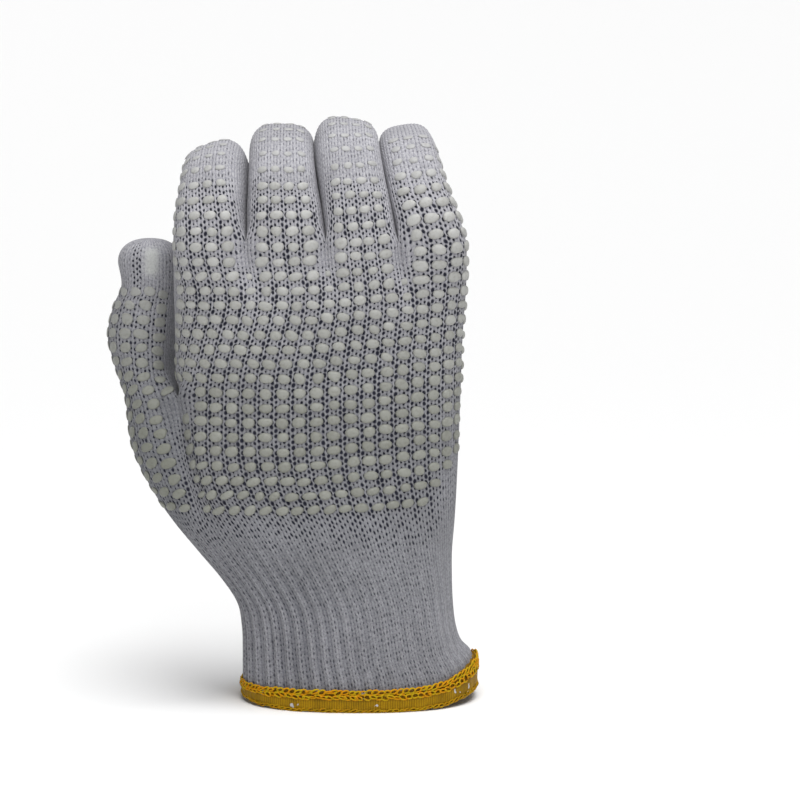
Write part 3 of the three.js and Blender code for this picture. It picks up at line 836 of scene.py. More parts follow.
def write_mesh(name, points, quads, triangles=None, uv=None, normals=None, values=None):
    """A mesh object from whole arrays: points in millimetres, faces, one uv for each corner of the
    quads and then of the triangles, point normals, and named values of the points."""
    triangles = np.zeros((0, 3), int) if triangles is None else triangles
    mesh = bpy.data.meshes.new(name)
    mesh.vertices.add(len(points))
    mesh.vertices.foreach_set("co", (np.asarray(points) * MM).astype(np.float32).ravel())
    loops = np.concatenate([np.ravel(quads), np.ravel(triangles)]).astype(np.int32)
    starts = np.concatenate([
        np.arange(len(quads)) * 4, 4 * len(quads) + np.arange(len(triangles)) * 3]).astype(np.int32)
    mesh.loops.add(len(loops))
    mesh.loops.foreach_set("vertex_index", loops)
    mesh.polygons.add(len(starts))
    mesh.polygons.foreach_set("loop_start", starts)
    mesh.polygons.foreach_set("use_smooth", np.ones(len(starts), bool))
    if uv is not None:
        layer = mesh.uv_layers.new(name="stitch")
        layer.uv.foreach_set("vector", np.asarray(uv, np.float32).ravel())
    for key, value in (values or {}).items():
        layer = mesh.attributes.new(key, "FLOAT", "POINT")
        layer.data.foreach_set("value", np.asarray(value, np.float32))
    mesh.update(calc_edges=True)
    mesh.validate()
    if normals is not None:
        mesh.normals_split_custom_set_from_vertices(np.asarray(normals).tolist())
    piece = bpy.data.objects.new(name, mesh)
    bpy.context.scene.collection.objects.link(piece)
    return piece


def cloth_piece(name, skin, spans, low_rims, high_rims):
    """A closed wall of cloth. Its spans are (patch, first row, last row), and its rims are the
    rings (patch, row) where it is open below or above. The outer side has all the points, and
    the inner side one point for each stitch."""
    count = len(skin.points)
    quads, quad_uv, triangles, triangle_uv = [], [], [], []

    def keep(faces, face_uv, new_faces, u, v, flip):
        both = np.stack([np.broadcast_to(u, v.shape), v], axis=-1).reshape(-1, v.shape[-1], 2)
        new_faces = new_faces.reshape(-1, v.shape[-1])
        faces.append(new_faces[:, ::-1] + count if flip else new_faces)
        face_uv.append(both[:, ::-1] if flip else both)

    def add_quads(ids, u_left, u_right, flip):
        four = corners(ids)
        u = np.stack([u_left, u_right, u_right, u_left], axis=-1)[None]
        keep(quads, quad_uv, four, u, skin.course[four], flip)

    def add_fan(ring, pole, u_left, flip):
        three = fan(ring, pole)
        v = skin.course[three]
        v[:, 2] = v[:, :2].mean(axis=1) + POLE_COURSE
        keep(triangles, triangle_uv, three, u_left[:, None], v, flip)

    for patch_name, low, high in spans:
        patch = skin.patches[patch_name]
        ids, wales = patch["ids"][low:high + 1], patch["wales"]
        rows = np.unique(np.append(np.arange(0, len(ids), ROWS), len(ids) - 1))
        add_quads(ids, wales[:, 0], wales[:, 1], False)
        coarse = ids[rows][:, ::COLUMNS]
        add_quads(coarse, wales[::COLUMNS, 0], wales[::COLUMNS, 0] + 1, True)
        if "pole" in patch and high == len(patch["ids"]) - 1:
            add_fan(ids[-1], patch["pole"], wales[:, 0], False)
            add_fan(coarse[-1], patch["pole"], wales[::COLUMNS, 0], True)
    half = COLUMNS // 2
    for rims, is_high in ((low_rims, False), (high_rims, True)):
        for patch_name, row in rims:
            ring = skin.ids(patch_name)[row]
            inner = ring[::COLUMNS] + count
            ahead = np.roll(inner, -1)
            outer = [ring[k::COLUMNS] for k in range(COLUMNS)] + [np.roll(ring[::COLUMNS], -1)]
            faces = [(outer[k + 1], outer[k], inner if k < half else ahead) for k in range(COLUMNS)]
            faces.append((outer[half], inner, ahead))
            faces = np.concatenate([np.stack(face, axis=1) for face in faces])
            triangles.append(faces[:, ::-1] if is_high else faces)
            triangle_uv.append(np.zeros((len(faces), 3, 2)))
    quads, triangles = np.concatenate(quads), np.concatenate(triangles)
    uv = np.concatenate([corner_uv.reshape(-1, 2) for corner_uv in quad_uv + triangle_uv])
    used, numbers = np.unique(np.concatenate([quads.ravel(), triangles.ravel()]), return_inverse=True)
    quads, triangles = numbers[:quads.size].reshape(-1, 4), numbers[quads.size:].reshape(-1, 3)
    points = np.concatenate([skin.outer, skin.inner])[used]
    normals = np.concatenate([skin.normals, -skin.smooth_normals])[used]
    values = {"open": skin.openness, "rib": skin.rib, "dull": skin.dull, "worn": skin.worn}
    values = {key: np.concatenate([every, np.zeros(count)])[used] for key, every in values.items()}
    return write_mesh(name, points, quads, triangles, uv, normals, values)


# The grip dots
DOT_WALES = 4
DOT_COURSES = 2.62
DOT_FIRST_Z = 66.8
DOT_TIP_BARE = (15.0, 15.0, 15.0, 38.0)
THUMB_TIP_BARE = 22.0
DOT_SEGMENTS = 12
DOT_SQUARENESS = 2.15
DOT_PROFILE = ((1.0, -0.3), (0.94, 0.26), (0.75, 0.66), (0.42, 0.92))
DOT_LOBES = ((2, 0.05), (3, 0.03))
DOT_STRETCH = (0.55, 1.08)

# How much single dots differ: turn, size, place across and along, and the waves of the rim
DOT_TURNS = 0.09
DOT_SIZES = 0.065
DOT_SLIDES = (0.16, 0.14)
DOT_RIM = 0.02

# Where the dots are left out, and where they are lower or smaller. The sizes are width, length
# and height.
FORK_BARE = 4.6
CROTCH_BARE = 9.0
THUMB_DOT_FIRST = 1
FULL_PITCH = 1.42
KNUCKLE_DOTS = (172.0, 14.0)
SIDE_DOTS = (-50.0, -18.0)
BENT_SIZES = (-0.16, -0.2, 0.0)
FLAT_SIZES = (0.0, 0.0, -0.6)
EDGE_STARTS = (108.0, 84.0, 79.0, 73.5)
LOW_ROWS = (80.0, -9.0)
LOW_ROWS_SIZES = (0.04, -0.12, 0.0)


def column_sites(skin, patch_name, column, tip_bare=0.0, start_z=-math.inf):
    """Dot places along one column of a patch: centres, normals, directions along the column, and
    the sizes that the stretch of the knit gives them, read at even steps of the course."""
    rings = skin.ids(patch_name)
    ids = rings[:, column]
    next_to = skin.points[rings[:, (column + 1) % rings.shape[1]]] - skin.points[rings[:, column - 1]]
    pitch = np.linalg.norm(next_to, axis=1) * COLUMNS / 2
    points, course = skin.points[ids], skin.course[ids]
    length = length_along(points)
    end = np.interp(length[-1] - tip_bare, length, course)
    start = course[0]
    if start_z > points[0, 2]:
        start = np.interp(start_z, points[:, 2], course)
    first = DOT_FIRST_Z / COURSE
    k = np.arange(math.ceil((start - first) / DOT_COURSES), math.ceil((end - first) / DOT_COURSES))
    at = first + k * DOT_COURSES
    at = at[at < end]
    known = (points, skin.smooth_normals[ids], np.gradient(points, course, axis=0))
    centres, normals, along = (interpolated(at, course, values) for values in known)
    return centres, normals, along, np.clip(np.interp(at, course, pitch) / FULL_PITCH, *DOT_STRETCH)


def dot_groups(skin):
    """The places of the dots by piece: on the hand, the thumb and the fingers."""
    last = FRONT_WALES * COLUMNS
    shift = FORK_SHIFT * COLUMNS
    step = DOT_WALES * COLUMNS
    wide = FINGER_WALES * COLUMNS
    forks = fork_points(skin)
    front = range(0, last + 1, step)
    starts = dict(zip(reversed(front), EDGE_STARTS))
    hand = [column_sites(skin, "body", c - shift, start_z=starts.get(c, DOT_FIRST_Z))
            for c in front if c >= shift]
    hand += [column_sites(skin, "hand", c, CROTCH_BARE if 0 < c < last and c % wide == 0 else 0.0,
                          starts.get(c, DOT_FIRST_Z)) for c in front]
    thumb_start = (2 * FRONT_WALES + THUMB_WALES + THUMB_DOT_FIRST) * COLUMNS
    thumb_columns = range(thumb_start, (2 * FRONT_WALES + 2 * THUMB_WALES) * COLUMNS, step)
    hand += [column_sites(skin, "body", c - shift, start_z=DOT_FIRST_Z) for c in thumb_columns[:-1]]
    thumb = [column_sites(skin, "thumb", c - last * 2, THUMB_TIP_BARE) for c in thumb_columns]
    groups = {"hand": hand, "thumb": thumb}
    for i, name in enumerate(FINGER_NAMES):
        columns = list(range(0 if i == 0 else step, wide, step))
        if i == FINGER_COUNT - 1:
            columns.append(wide)
        groups[name] = [column_sites(skin, name, c, DOT_TIP_BARE[i]) for c in columns]
    for name, sites in groups.items():
        centres, normals, along, stretch = (np.concatenate(parts) for parts in zip(*sites))
        clear = np.all([np.linalg.norm(centres - fork, axis=1) > FORK_BARE for fork in forks], axis=0)
        groups[name] = centres[clear], normals[clear], along[clear], stretch[clear]
    return groups


def dots_mesh(name, sites, width, length, height, seed):
    """Domes on a rounded footprint, all in one mesh. Rings of a superellipse rise along a profile,
    and each dome has its own small change of size, place, turn and shade."""
    centres, normals, along, stretch = sites
    count = len(centres)
    draw = np.random.default_rng(seed)
    normals = unit(normals)
    along = unit(along - normals * (along * normals).sum(axis=1, keepdims=True))
    across = np.cross(along, normals)
    turn = draw.normal(0, DOT_TURNS, (count, 1))
    cos, sin = np.cos(turn), np.sin(turn)
    along, across = along * cos + across * sin, across * cos - along * sin
    size = (1 + draw.normal(0, DOT_SIZES, (count, 3))) * stretch[:, None]
    bent, low = (past(centres[:, 2:], *span) for span in (KNUCKLE_DOTS, LOW_ROWS))
    flat = np.maximum(bent, past(centres[:, :1], *SIDE_DOTS))
    for share, sizes in ((bent, BENT_SIZES), (flat, FLAT_SIZES), (low, LOW_ROWS_SIZES)):
        size *= 1 + share * sizes
    for way, slide in zip((across, along), DOT_SLIDES):
        centres = centres + way * draw.normal(0, slide, (count, 1))
    angle = turns(DOT_SEGMENTS, 0.5)
    rim_x, rim_y = superellipse(angle, DOT_SQUARENESS)
    spread, rise = np.array(DOT_PROFILE).T
    wobble = 1 + draw.normal(0, DOT_RIM, (count, 1, DOT_SEGMENTS))
    for lobes, much in DOT_LOBES:
        phase = draw.uniform(0, 2 * math.pi, (count, 1, 1))
        wobble += much * draw.normal(0, 1, (count, 1, 1)) * np.cos(lobes * angle + phase)
    x = spread[None, :, None] * rim_x * wobble * size[:, 0, None, None] * width / 2
    y = spread[None, :, None] * rim_y * wobble * size[:, 1, None, None] * length / 2
    z = np.broadcast_to(rise[None, :, None], x.shape) * size[:, 2, None, None] * height
    top = np.ones((count, 1)) * size[:, 2:] * height
    local = [np.concatenate([values.reshape(count, -1), extra], axis=1)
             for values, extra in zip((x, y, z), (top * 0, top * 0, top))]
    points = centres[:, None] + sum(
        values[..., None] * axis[:, None] for values, axis in zip(local, (across, along, normals)))
    rings = len(DOT_PROFILE)
    ids = np.arange(rings * DOT_SEGMENTS).reshape(rings, DOT_SEGMENTS)
    each = points.shape[1]
    quads = corners(ids).reshape(-1, 4)
    bottom = np.stack([np.full(DOT_SEGMENTS - 2, ids[0, 0]), ids[0, 2:], ids[0, 1:-1]], axis=1)
    triangles = np.concatenate([fan(ids[-1], each - 1), bottom])
    shift = (np.arange(count) * each)[:, None, None]
    shade = np.repeat(draw.uniform(0, 1, count), each)
    # Painted shade on the dots, darker lower down
    dull = np.repeat(dullness(centres), each)
    return write_mesh(
        name, points.reshape(-1, 3), (quads + shift).reshape(-1, 4), (triangles + shift).reshape(-1, 3),
        values={"shade": shade, "dull": dull, "flat": np.repeat(flat[:, 0], each)})


# The hem
HEM_COLUMNS = 960
HEM_PROFILE = 26
HEM_SQUARENESS = 3.6
THREAD_PITCH = 0.8
LOOP_PITCH = 2.0
LOOP_RADIUS = 0.29
LOOP_SEGMENTS = 14
LOOP_SIDES = 5

# Slow waves of the band: how many round the mouth, where they start and how deep they are
HEM_WAVES = ((23, 0, 0.06), (41, 1, 0.05), (97, 2, 0.05))
HEM_CLEAR = 0.05
LOOP_CLEAR = 0.02

# Painted shade on the band below the upper chains and, a little less, beside the lower one
SHADE_TOP = (-3.0, 1.2)
SHADE_BOTTOM = (1.5, -1.0)
SHADE_BOTTOM_SHARE = 0.8

# The chains: height, offset in loops, half sizes, slant, reach out of the cloth and brightness
CHAINS = (
    (HEM_HEIGHT - 0.2, 0.0, 0.72, 1.12, 0.34, 1.72, 1.0),
    (HEM_HEIGHT - 1.85, 0.5, 0.66, 1.12, -0.34, 1.94, 1.0),
    (0.6, 0.25, 0.42, 1.0, 0.25, 1.62, 0.35),
)
# How much single loops differ: place, height, size, slant and reach
LOOP_SLIDES = 0.2
LOOP_LIFTS = 0.17
LOOP_SIZES = 0.22
LOOP_SLANTS = 0.2
LOOP_REACHES = 0.08
# How far the thread of a loop weaves in and out, and where on the loop
LOOP_WEAVE = 0.16
LOOP_WEAVE_START = 0.6
LOOP_SEED = 5
# A direction that no path runs along
TUBE_SIDE = (0.21, 0.13, 0.97)


def mouth_line(count):
    """The mouth's ring as even points and outward normals, by length round the lowest ring."""
    ring = closed_up(lower_rings(np.array([0.0]))[0, :, :2])
    length = length_along(ring)
    line = interpolated(np.arange(count) * length[-1] / count, length, ring)
    ahead = unit(np.roll(line, -1, axis=0) - np.roll(line, 1, axis=0))
    return line, np.stack([ahead[:, 1], -ahead[:, 0]], axis=1), length[-1]


def hem_point(line, out, reach, z):
    """Points of the hem from the ring's points, a reach outwards and a height in the hem."""
    place = line + out * (reach - WALL / 2)[..., None]
    lower, upper = hem_lift(line[..., 0])
    height = z + lower + (upper - lower) * z / HEM_HEIGHT
    return np.concatenate([place, height[..., None]], axis=-1)


def hem_band(name):
    """The satin band: a superellipse section carried round the mouth, pushed in and out by sines of
    the turn. Its stitch coordinate counts the threads round the mouth."""
    line, out, length = mouth_line(HEM_COLUMNS)
    across, up = superellipse(turns(HEM_PROFILE), HEM_SQUARENESS)
    z = (HEM_HEIGHT / 2 * (1 + up))[:, None]
    wave = sum(depth * np.sin(number * turns(HEM_COLUMNS) + start) for number, start, depth in HEM_WAVES)
    reach = (HEM_THICKNESS / 2 * across)[:, None] + wave
    points = hem_point(line[None] + 0 * reach[..., None], out[None], reach, z + 0 * reach)
    points[..., 2] = np.maximum(points[..., 2], HEM_CLEAR)
    loop = closed_up(np.arange(HEM_PROFILE * HEM_COLUMNS).reshape(HEM_PROFILE, HEM_COLUMNS))
    quads = corners(loop).reshape(-1, 4)
    u = np.arange(HEM_COLUMNS + 1) * round(length / THREAD_PITCH) / HEM_COLUMNS
    v = np.arange(len(loop)) / 2.0
    both = np.stack(np.broadcast_arrays(
        np.stack([u[:-1], u[1:], u[1:], u[:-1]], axis=1)[None],
        np.stack([v[:-1], v[:-1], v[1:], v[1:]], axis=1)[:, None]), axis=-1)
    # Painted shade on the band beneath the chains
    shade = past(z - HEM_HEIGHT, *SHADE_TOP) + SHADE_BOTTOM_SHARE * past(z, *SHADE_BOTTOM)
    chain_shade = np.where(reach > 0, shade, 0).ravel()
    return write_mesh(name, points.reshape(-1, 3), quads, uv=both.reshape(-1, 2), values={"chain_shade": chain_shade})


def tubes(path):
    """Round tubes along closed paths, as points and quads. The paths are (number, points, 3), and
    each ring lies across the path on two axes found from its direction."""
    ahead = unit(np.roll(path, -1, axis=1) - np.roll(path, 1, axis=1))
    side = unit(np.cross(ahead, TUBE_SIDE))
    up = np.cross(side, ahead)
    angle = turns(LOOP_SIDES)
    rings = path[:, :, None] + LOOP_RADIUS * (
        side[:, :, None] * np.cos(angle)[:, None] + up[:, :, None] * np.sin(angle)[:, None])
    ids = np.arange(rings.size // 3).reshape(rings.shape[:3])
    ring = np.stack([ids, np.roll(ids, -1, axis=1)], axis=-1)
    quads = np.concatenate([ring, np.roll(ring, -1, axis=2)[..., ::-1]], axis=-1)
    return rings.reshape(-1, 3), quads.reshape(-1, 4)


def join(parts):
    """Several lots of points and quads as one."""
    shift = np.cumsum([0] + [len(points) for points, _ in parts[:-1]])
    return (np.concatenate([points for points, _ in parts]),
            np.concatenate([quads + s for (_, quads), s in zip(parts, shift)]))


def hem_loops(name, seed):
    """The looper chains: two rows of linked eyes below the upper edge and one along the lower edge.
    Each eye is a slanted ellipse of thread that stands off the band."""
    draw = np.random.default_rng(seed)
    line, out, length = mouth_line(HEM_COLUMNS)
    count = round(length / LOOP_PITCH)
    angle = turns(LOOP_SEGMENTS)
    parts, chain = [], []
    cos, sin = np.cos(angle)[None], np.sin(angle)[None]
    index = np.arange(HEM_COLUMNS + 1)
    for height, offset, tall, wide, lean, reach, bright in CHAINS:
        at = (np.arange(count) + offset) * length / count + draw.normal(0, LOOP_SLIDES, count)
        z = height + draw.normal(0, LOOP_LIFTS, (count, 1))
        z = z + tall * sin * (1 + draw.normal(0, LOOP_SIZES, (count, 1)))
        s = at[:, None] + wide * cos + (lean + draw.normal(0, LOOP_SLANTS, (count, 1))) * sin
        k = (s / length * HEM_COLUMNS) % HEM_COLUMNS
        place, outward = (interpolated(k, index, closed_up(values)) for values in (line, out))
        away = reach + LOOP_WEAVE * np.cos(angle * 2 + LOOP_WEAVE_START)[None]
        away = away + draw.normal(0, LOOP_REACHES, (count, 1))
        parts.append(tubes(hem_point(place, outward, away, z)))
        chain.append(np.full(len(parts[-1][0]), bright))
    points, quads = join(parts)
    points[:, 2] = np.maximum(points[:, 2], LOOP_CLEAR)
    return write_mesh(name, points, quads, values={"chain": np.concatenate(chain)})


def rgba(colour):
    """A colour with its alpha. A socket stays as it is."""
    return colour if isinstance(colour, bpy.types.NodeSocket) else (*colour, 1.0)


class Graph:
    """A material's node tree, with short calls that add nodes and link them."""

    def __init__(self, name):
        self.material = bpy.data.materials.new(name)
        self.material.use_nodes = True
        self.tree = self.material.node_tree
        self.shader = self.tree.nodes["Principled BSDF"]

    def put(self, socket, value):
        """Links a socket, or sets its value."""
        if isinstance(value, bpy.types.NodeSocket):
            self.tree.links.new(value, socket)
        else:
            socket.default_value = value

    def add(self, kind, inputs=None, **settings):
        """A new node with its settings and its inputs, by name or number."""
        node = self.tree.nodes.new("ShaderNode" + kind)
        for key, value in settings.items():
            setattr(node, key, value)
        for socket, value in (inputs or {}).items():
            self.put(node.inputs[socket], value)
        return node

    def attribute(self, name):
        """A value of the mesh's points."""
        return self.add("Attribute", attribute_name=name).outputs["Fac"]

    def stitch(self):
        """The two stitch coordinates."""
        uv = self.add("UVMap", uv_map="stitch").outputs["UV"]
        return self.add("SeparateXYZ", {0: uv}).outputs

    def math(self, operation, *values):
        """The result of an operation on one, two or three values."""
        return self.add("Math", dict(enumerate(values)), operation=operation).outputs[0]

    def times(self, first, second):
        """A product."""
        return self.math("MULTIPLY", first, second)

    def plus(self, first, second):
        """A sum."""
        return self.math("ADD", first, second)

    def less(self, first, second):
        """A difference."""
        return self.math("SUBTRACT", first, second)

    def line(self, value, start, slope):
        """A start and a value times a slope."""
        return self.math("MULTIPLY_ADD", value, slope, start)

    def centred(self, value):
        """How far a value is past the middle between two whole numbers."""
        return self.less(self.math("FRACT", value), 0.5)

    def ramp(self, value, low, high, to_low=0.0, to_high=1.0):
        """A value carried smoothly from one span to another."""
        spans = {"Value": value, "From Min": low, "From Max": high, "To Min": to_low, "To Max": to_high}
        return self.add("MapRange", spans, interpolation_type="SMOOTHSTEP").outputs[0]

    def draw(self, value):
        """A random value for each whole number."""
        return self.add("TexWhiteNoise", {"W": value}, noise_dimensions="1D").outputs["Value"]

    def noise(self, scale, detail, roughness=0.55):
        """Noise on the object's own coordinates."""
        place = self.add("TexCoord").outputs["Object"]
        settings = {"Vector": place, "Scale": scale, "Detail": detail, "Roughness": roughness}
        return self.add("TexNoise", settings).outputs["Fac"]

    def blend(self, share, first, second, how="MIX"):
        """A colour between two others."""
        colours = {0: share, 6: rgba(first), 7: rgba(second)}
        return self.add("Mix", colours, data_type="RGBA", blend_type=how).outputs[2]

    def tint(self, share, colour, filtered):
        """A colour that goes over to its product with another."""
        return self.blend(share, colour, filtered, "MULTIPLY")

    def bump(self, height, strength, distance):
        """A bump from a height."""
        inputs = {"Height": height, "Strength": strength, "Distance": distance}
        return self.add("Bump", inputs).outputs["Normal"]

    def shade(self, **values):
        """Sets the shader's inputs. Underscores stand for spaces."""
        for key, value in values.items():
            self.put(self.shader.inputs[key.replace("_", " ")], value)
        return self.material


# Noise on the knit, by scale and detail
YARN_FIBRES = (5200.0, 4.0)
YARN_STAINS = (38.0, 5.0, 0.6)
YARN_PATCHES = (420.0, 3.0)
YARN_FLEECE = (1400.0, 2.0)

# The holes, in stitches: their size in closed knit and how much more it is in open knit, their
# slant, how much they differ in open knit and how much more in closed knit, and their slides up
# and across. In open knit they are narrower beside the dots and wider between them.
HOLE_WIDTH = (0.09, 0.22)
HOLE_HEIGHT = (0.15, 0.13)
HOLE_SLANT = 0.4
HOLE_CHANGES = (0.6, 0.7)
HOLE_SLIDES = (0.26, 0.16)
BESIDE_DOTS = -0.32

# Ramps: a span of the value, and what it is carried to where that isn't 0 to 1
HOLE_EDGE = (0.3, 1.7, 1.0, 0.0)
HOLE_SHOWS = (0.0, 0.5, 0.1, 1.0)
BESIDE_DOTS_RAMP = (0.6, 1.0)
CLOSED_RAMP = (0.3, 0.9, 1.0, 0.0)
GROOVE_RAMP = (0.2, 0.5)
STAIN_RAMP = (0.35, 0.7)
PATCHY_RAMP = (0.3, 0.7, 0.0, 0.4)
LEG_SHADE_RAMP = (-1.0, 0.3, 0.3, 0.0)
FIBRE_RAMP = (0.35, 0.65, 0.3, 0.0)
FLEECE_RAMP = (0.38, 0.6, 1.0, 0.0)
YARN_ROUGHNESS = (0.3, 0.7, 0.82, 0.96)

# How strong the shades of the yarn are, or what they are in open knit and how much more in closed
# knit, and the colours that the yarn is multiplied with. The first four shares and the first four
# colours are painted shade: lower down, in the ribs' grooves, in the grooves between the wales and
# between the legs of the loops.
PAINTED_SHADE_SHARE = 0.6
RIB_SHADE_SHARE = 0.55
GROOVE_SHADE_SHARE = 0.34
LEG_SHADE_SHARE = (1.0, -0.6)
PATCH_SHARE = 0.6
FLEECE_SHARE = (0.2, 0.45)
YARN_PAINTED_SHADE = (0.43, 0.445, 0.445)
YARN_GROOVE_SHADE = (0.42, 0.40, 0.50)
YARN_RIB_SHADE = (0.45, 0.46, 0.5)
YARN_LEG_SHADE = (0.5, 0.49, 0.56)
YARN_FIBRE = (0.55, 0.55, 0.6)
YARN_MOTTLE = (0.6, 0.6, 0.63)

# The legs of a loop, the shares of the fine relief, and the bump: its strength and its metres
LEG_SLOPE = 1.1
LEG_RELIEF = 0.14
FIBRE_RELIEF = 0.35
HOLE_RELIEF = 0.8
YARN_BUMP = (0.7, 0.0004)


def knit_material(settings):
    """Plain knit. Each stitch is one unit of the stitch coordinates. A dark hole lies between two
    wales, half a stitch higher or lower in each next gap; its dark is painted, for a dark form
    inside and the shade behind the knit. The two legs of a loop make the sides of a V, and fibres
    roughen it. Painted shade darkens the grooves between the wales and of the ribs, the valleys
    between the legs, and the cloth lower down."""
    g = Graph("knit_yarn")
    u, v = g.stitch()[:2]
    openness, rib, dull, worn = (g.attribute(name) for name in ("open", "rib", "dull", "worn"))
    column = g.math("FLOOR", u)
    at_dot = g.math("COSINE", g.line(column, math.pi / 4, math.pi / 2))
    between = g.line(g.times(at_dot, g.ramp(openness, *BESIDE_DOTS_RAMP)), 1.0, BESIDE_DOTS)
    side = g.math("MODULO", column, 2.0)
    closed = g.ramp(openness, *CLOSED_RAMP)
    v_hole = g.plus(g.line(side, v, 0.5), g.times(closed, g.draw(column)))
    cell = g.add("CombineXYZ", {"X": column, "Y": g.math("FLOOR", v_hole)}).outputs[0]
    drawn = g.add("TexWhiteNoise", {"Vector": cell}, noise_dimensions="2D").outputs["Color"]
    red, green, blue = g.add("SeparateColor", {0: drawn}).outputs[:3]
    size = g.times(g.line(g.less(red, 0.5), 1.0, g.line(closed, *HOLE_CHANGES)), between)
    slides = [g.line(share, -much / 2, much) for share, much in zip((green, blue), HOLE_SLIDES)]
    up = g.plus(g.centred(v_hole), slides[0])
    slanted = g.line(up, g.plus(g.centred(u), slides[1]), g.line(side, -HOLE_SLANT / 2, HOLE_SLANT))
    width, height = (g.times(g.line(openness, *sizes), size) for sizes in (HOLE_WIDTH, HOLE_HEIGHT))
    squares = [g.math("POWER", g.math("DIVIDE", *pair), 2.0) for pair in ((slanted, width), (up, height))]
    hole = g.times(g.ramp(g.plus(*squares), *HOLE_EDGE), g.ramp(openness, *HOLE_SHOWS))

    beside = g.plus(u, 0.5)
    from_wale = g.math("ABSOLUTE", g.centred(beside))
    v_leg = g.plus(v, g.times(closed, g.draw(g.math("FLOOR", beside))))
    leg = g.math("SINE", g.times(g.line(from_wale, v_leg, LEG_SLOPE), 2 * math.pi))
    groove_shade = g.ramp(from_wale, *GROOVE_RAMP)
    fibre, stain, patchy, fleece = (
        g.noise(*sizes) for sizes in (YARN_FIBRES, YARN_STAINS, YARN_PATCHES, YARN_FLEECE))

    colour = g.blend(g.ramp(stain, *STAIN_RAMP), settings.yarn_colour, settings.yarn_shade)
    colour = g.blend(g.ramp(patchy, *PATCHY_RAMP), colour, settings.yarn_shade)
    # Painted shade: darker lower down and on the thumb's side
    colour = g.tint(g.times(dull, PAINTED_SHADE_SHARE), colour, YARN_PAINTED_SHADE)
    # Painted shade in the grooves between the wales, less on the worn patch
    colour = g.tint(g.times(groove_shade, g.line(worn, GROOVE_SHADE_SHARE, -GROOVE_SHADE_SHARE)), colour, YARN_GROOVE_SHADE)
    # Painted shade in the grooves of the ribs
    colour = g.tint(g.times(rib, RIB_SHADE_SHARE), colour, YARN_RIB_SHADE)
    # Painted shade in the valleys between the legs of the loops, less on the worn patch
    leg_shade = g.times(g.ramp(leg, *LEG_SHADE_RAMP), g.line(closed, *LEG_SHADE_SHARE))
    colour = g.tint(g.times(leg_shade, g.less(1.0, worn)), colour, YARN_LEG_SHADE)
    colour = g.tint(g.ramp(fibre, *FIBRE_RAMP), colour, YARN_FIBRE)
    mottle = g.times(g.ramp(fleece, *FLEECE_RAMP), g.line(closed, *FLEECE_SHARE))
    colour = g.tint(mottle, colour, YARN_MOTTLE)
    colour = g.blend(g.times(worn, PATCH_SHARE), colour, settings.patch_colour)
    # The holes painted dark: partly the colour of a dark hand form that is not built, partly painted
    # shade behind the knit
    colour = g.blend(hole, colour, settings.hole_colour)
    raised = g.plus(g.times(leg, LEG_RELIEF), g.times(fibre, FIBRE_RELIEF))
    relief = g.less(raised, g.times(hole, HOLE_RELIEF))
    return g.shade(
        Base_Color=colour, Roughness=g.ramp(fibre, *YARN_ROUGHNESS), Specular_IOR_Level=0.2,
        Sheen_Weight=0.1, Sheen_Roughness=0.5, Normal=g.bump(relief, *YARN_BUMP))


# The plastic's grime and grain, how far the flat dots take their own colour, and the colours of the
# painted shade lower down and of the grime
GRIME = (900.0, 4.0)
GRIME_RAMP = (0.45, 0.75, 0.0, 0.35)
GRAIN = (2600.0, 3.0)
GRAIN_BUMP = (0.2, 0.0001)
DOT_ROUGHNESS = (0.3, 0.7, 0.44, 0.6)
FLAT_SHARE = 0.85
DOT_PAINTED_SHADE = (0.445, 0.46, 0.385)
DOT_GRIME = (0.6, 0.57, 0.5)


def dot_material(settings):
    """Soft plastic. Each dot has its own tone and is darkened with painted shade towards the wrist,
    where the plastic is also yellow-greener, with grime in fine noise and a slight gloss."""
    g = Graph("grip_plastic")
    shade, dull, flat = (g.attribute(name) for name in ("shade", "dull", "flat"))
    grime = g.noise(*GRIME)
    colour = g.blend(shade, settings.dot_colour, settings.dot_shade)
    colour = g.blend(g.times(flat, FLAT_SHARE), colour, settings.dot_flat)
    # Painted shade towards the wrist, with a yellow-green tint of the plastic there
    colour = g.tint(g.times(dull, PAINTED_SHADE_SHARE), colour, DOT_PAINTED_SHADE)
    colour = g.tint(g.ramp(grime, *GRIME_RAMP), colour, DOT_GRIME)
    return g.shade(
        Base_Color=colour, Roughness=g.ramp(grime, *DOT_ROUGHNESS), Specular_IOR_Level=0.35,
        Normal=g.bump(g.noise(*GRAIN), *GRAIN_BUMP))


# Noise on the hem: its fibres, slow shades, caught bits of yarn and yellower loops
THREAD_FIBRES = (4200.0, 4.0)
THREAD_SHADES = (160.0, 3.0)
YARN_BITS = (330.0, 2.0)
LOOP_SPOTS = (650.0, 2.0)
THREAD_SHADE_RAMP = (0.35, 0.65)
THREAD_FIBRE_RAMP = (0.3, 0.6, 0.45, 0.0)
THREAD_GROOVE_RAMP = (-1.0, 0.2, 0.6, 0.0)
YARN_BIT_RAMP = (0.675, 0.70)
LOOP_SPOT_RAMP = (0.42, 0.58)
THREAD_ROUGHNESS = (0.3, 0.7, 0.5, 0.68)
THREAD_BUMP = (0.5, 0.0002)
THREAD_WANDER = 6.0
# The share of painted shade beneath the chains, then the colours that the thread is multiplied with: its
# fibres, the painted shade beneath the chains and the painted shade between the band's threads
CHAIN_SHADE_SHARE = 0.75
THREAD_FIBRE = (0.5, 0.42, 0.2)
THREAD_CHAIN_SHADE = (0.34, 0.26, 0.2)
THREAD_GAP_SHADE = (0.45, 0.38, 0.2)


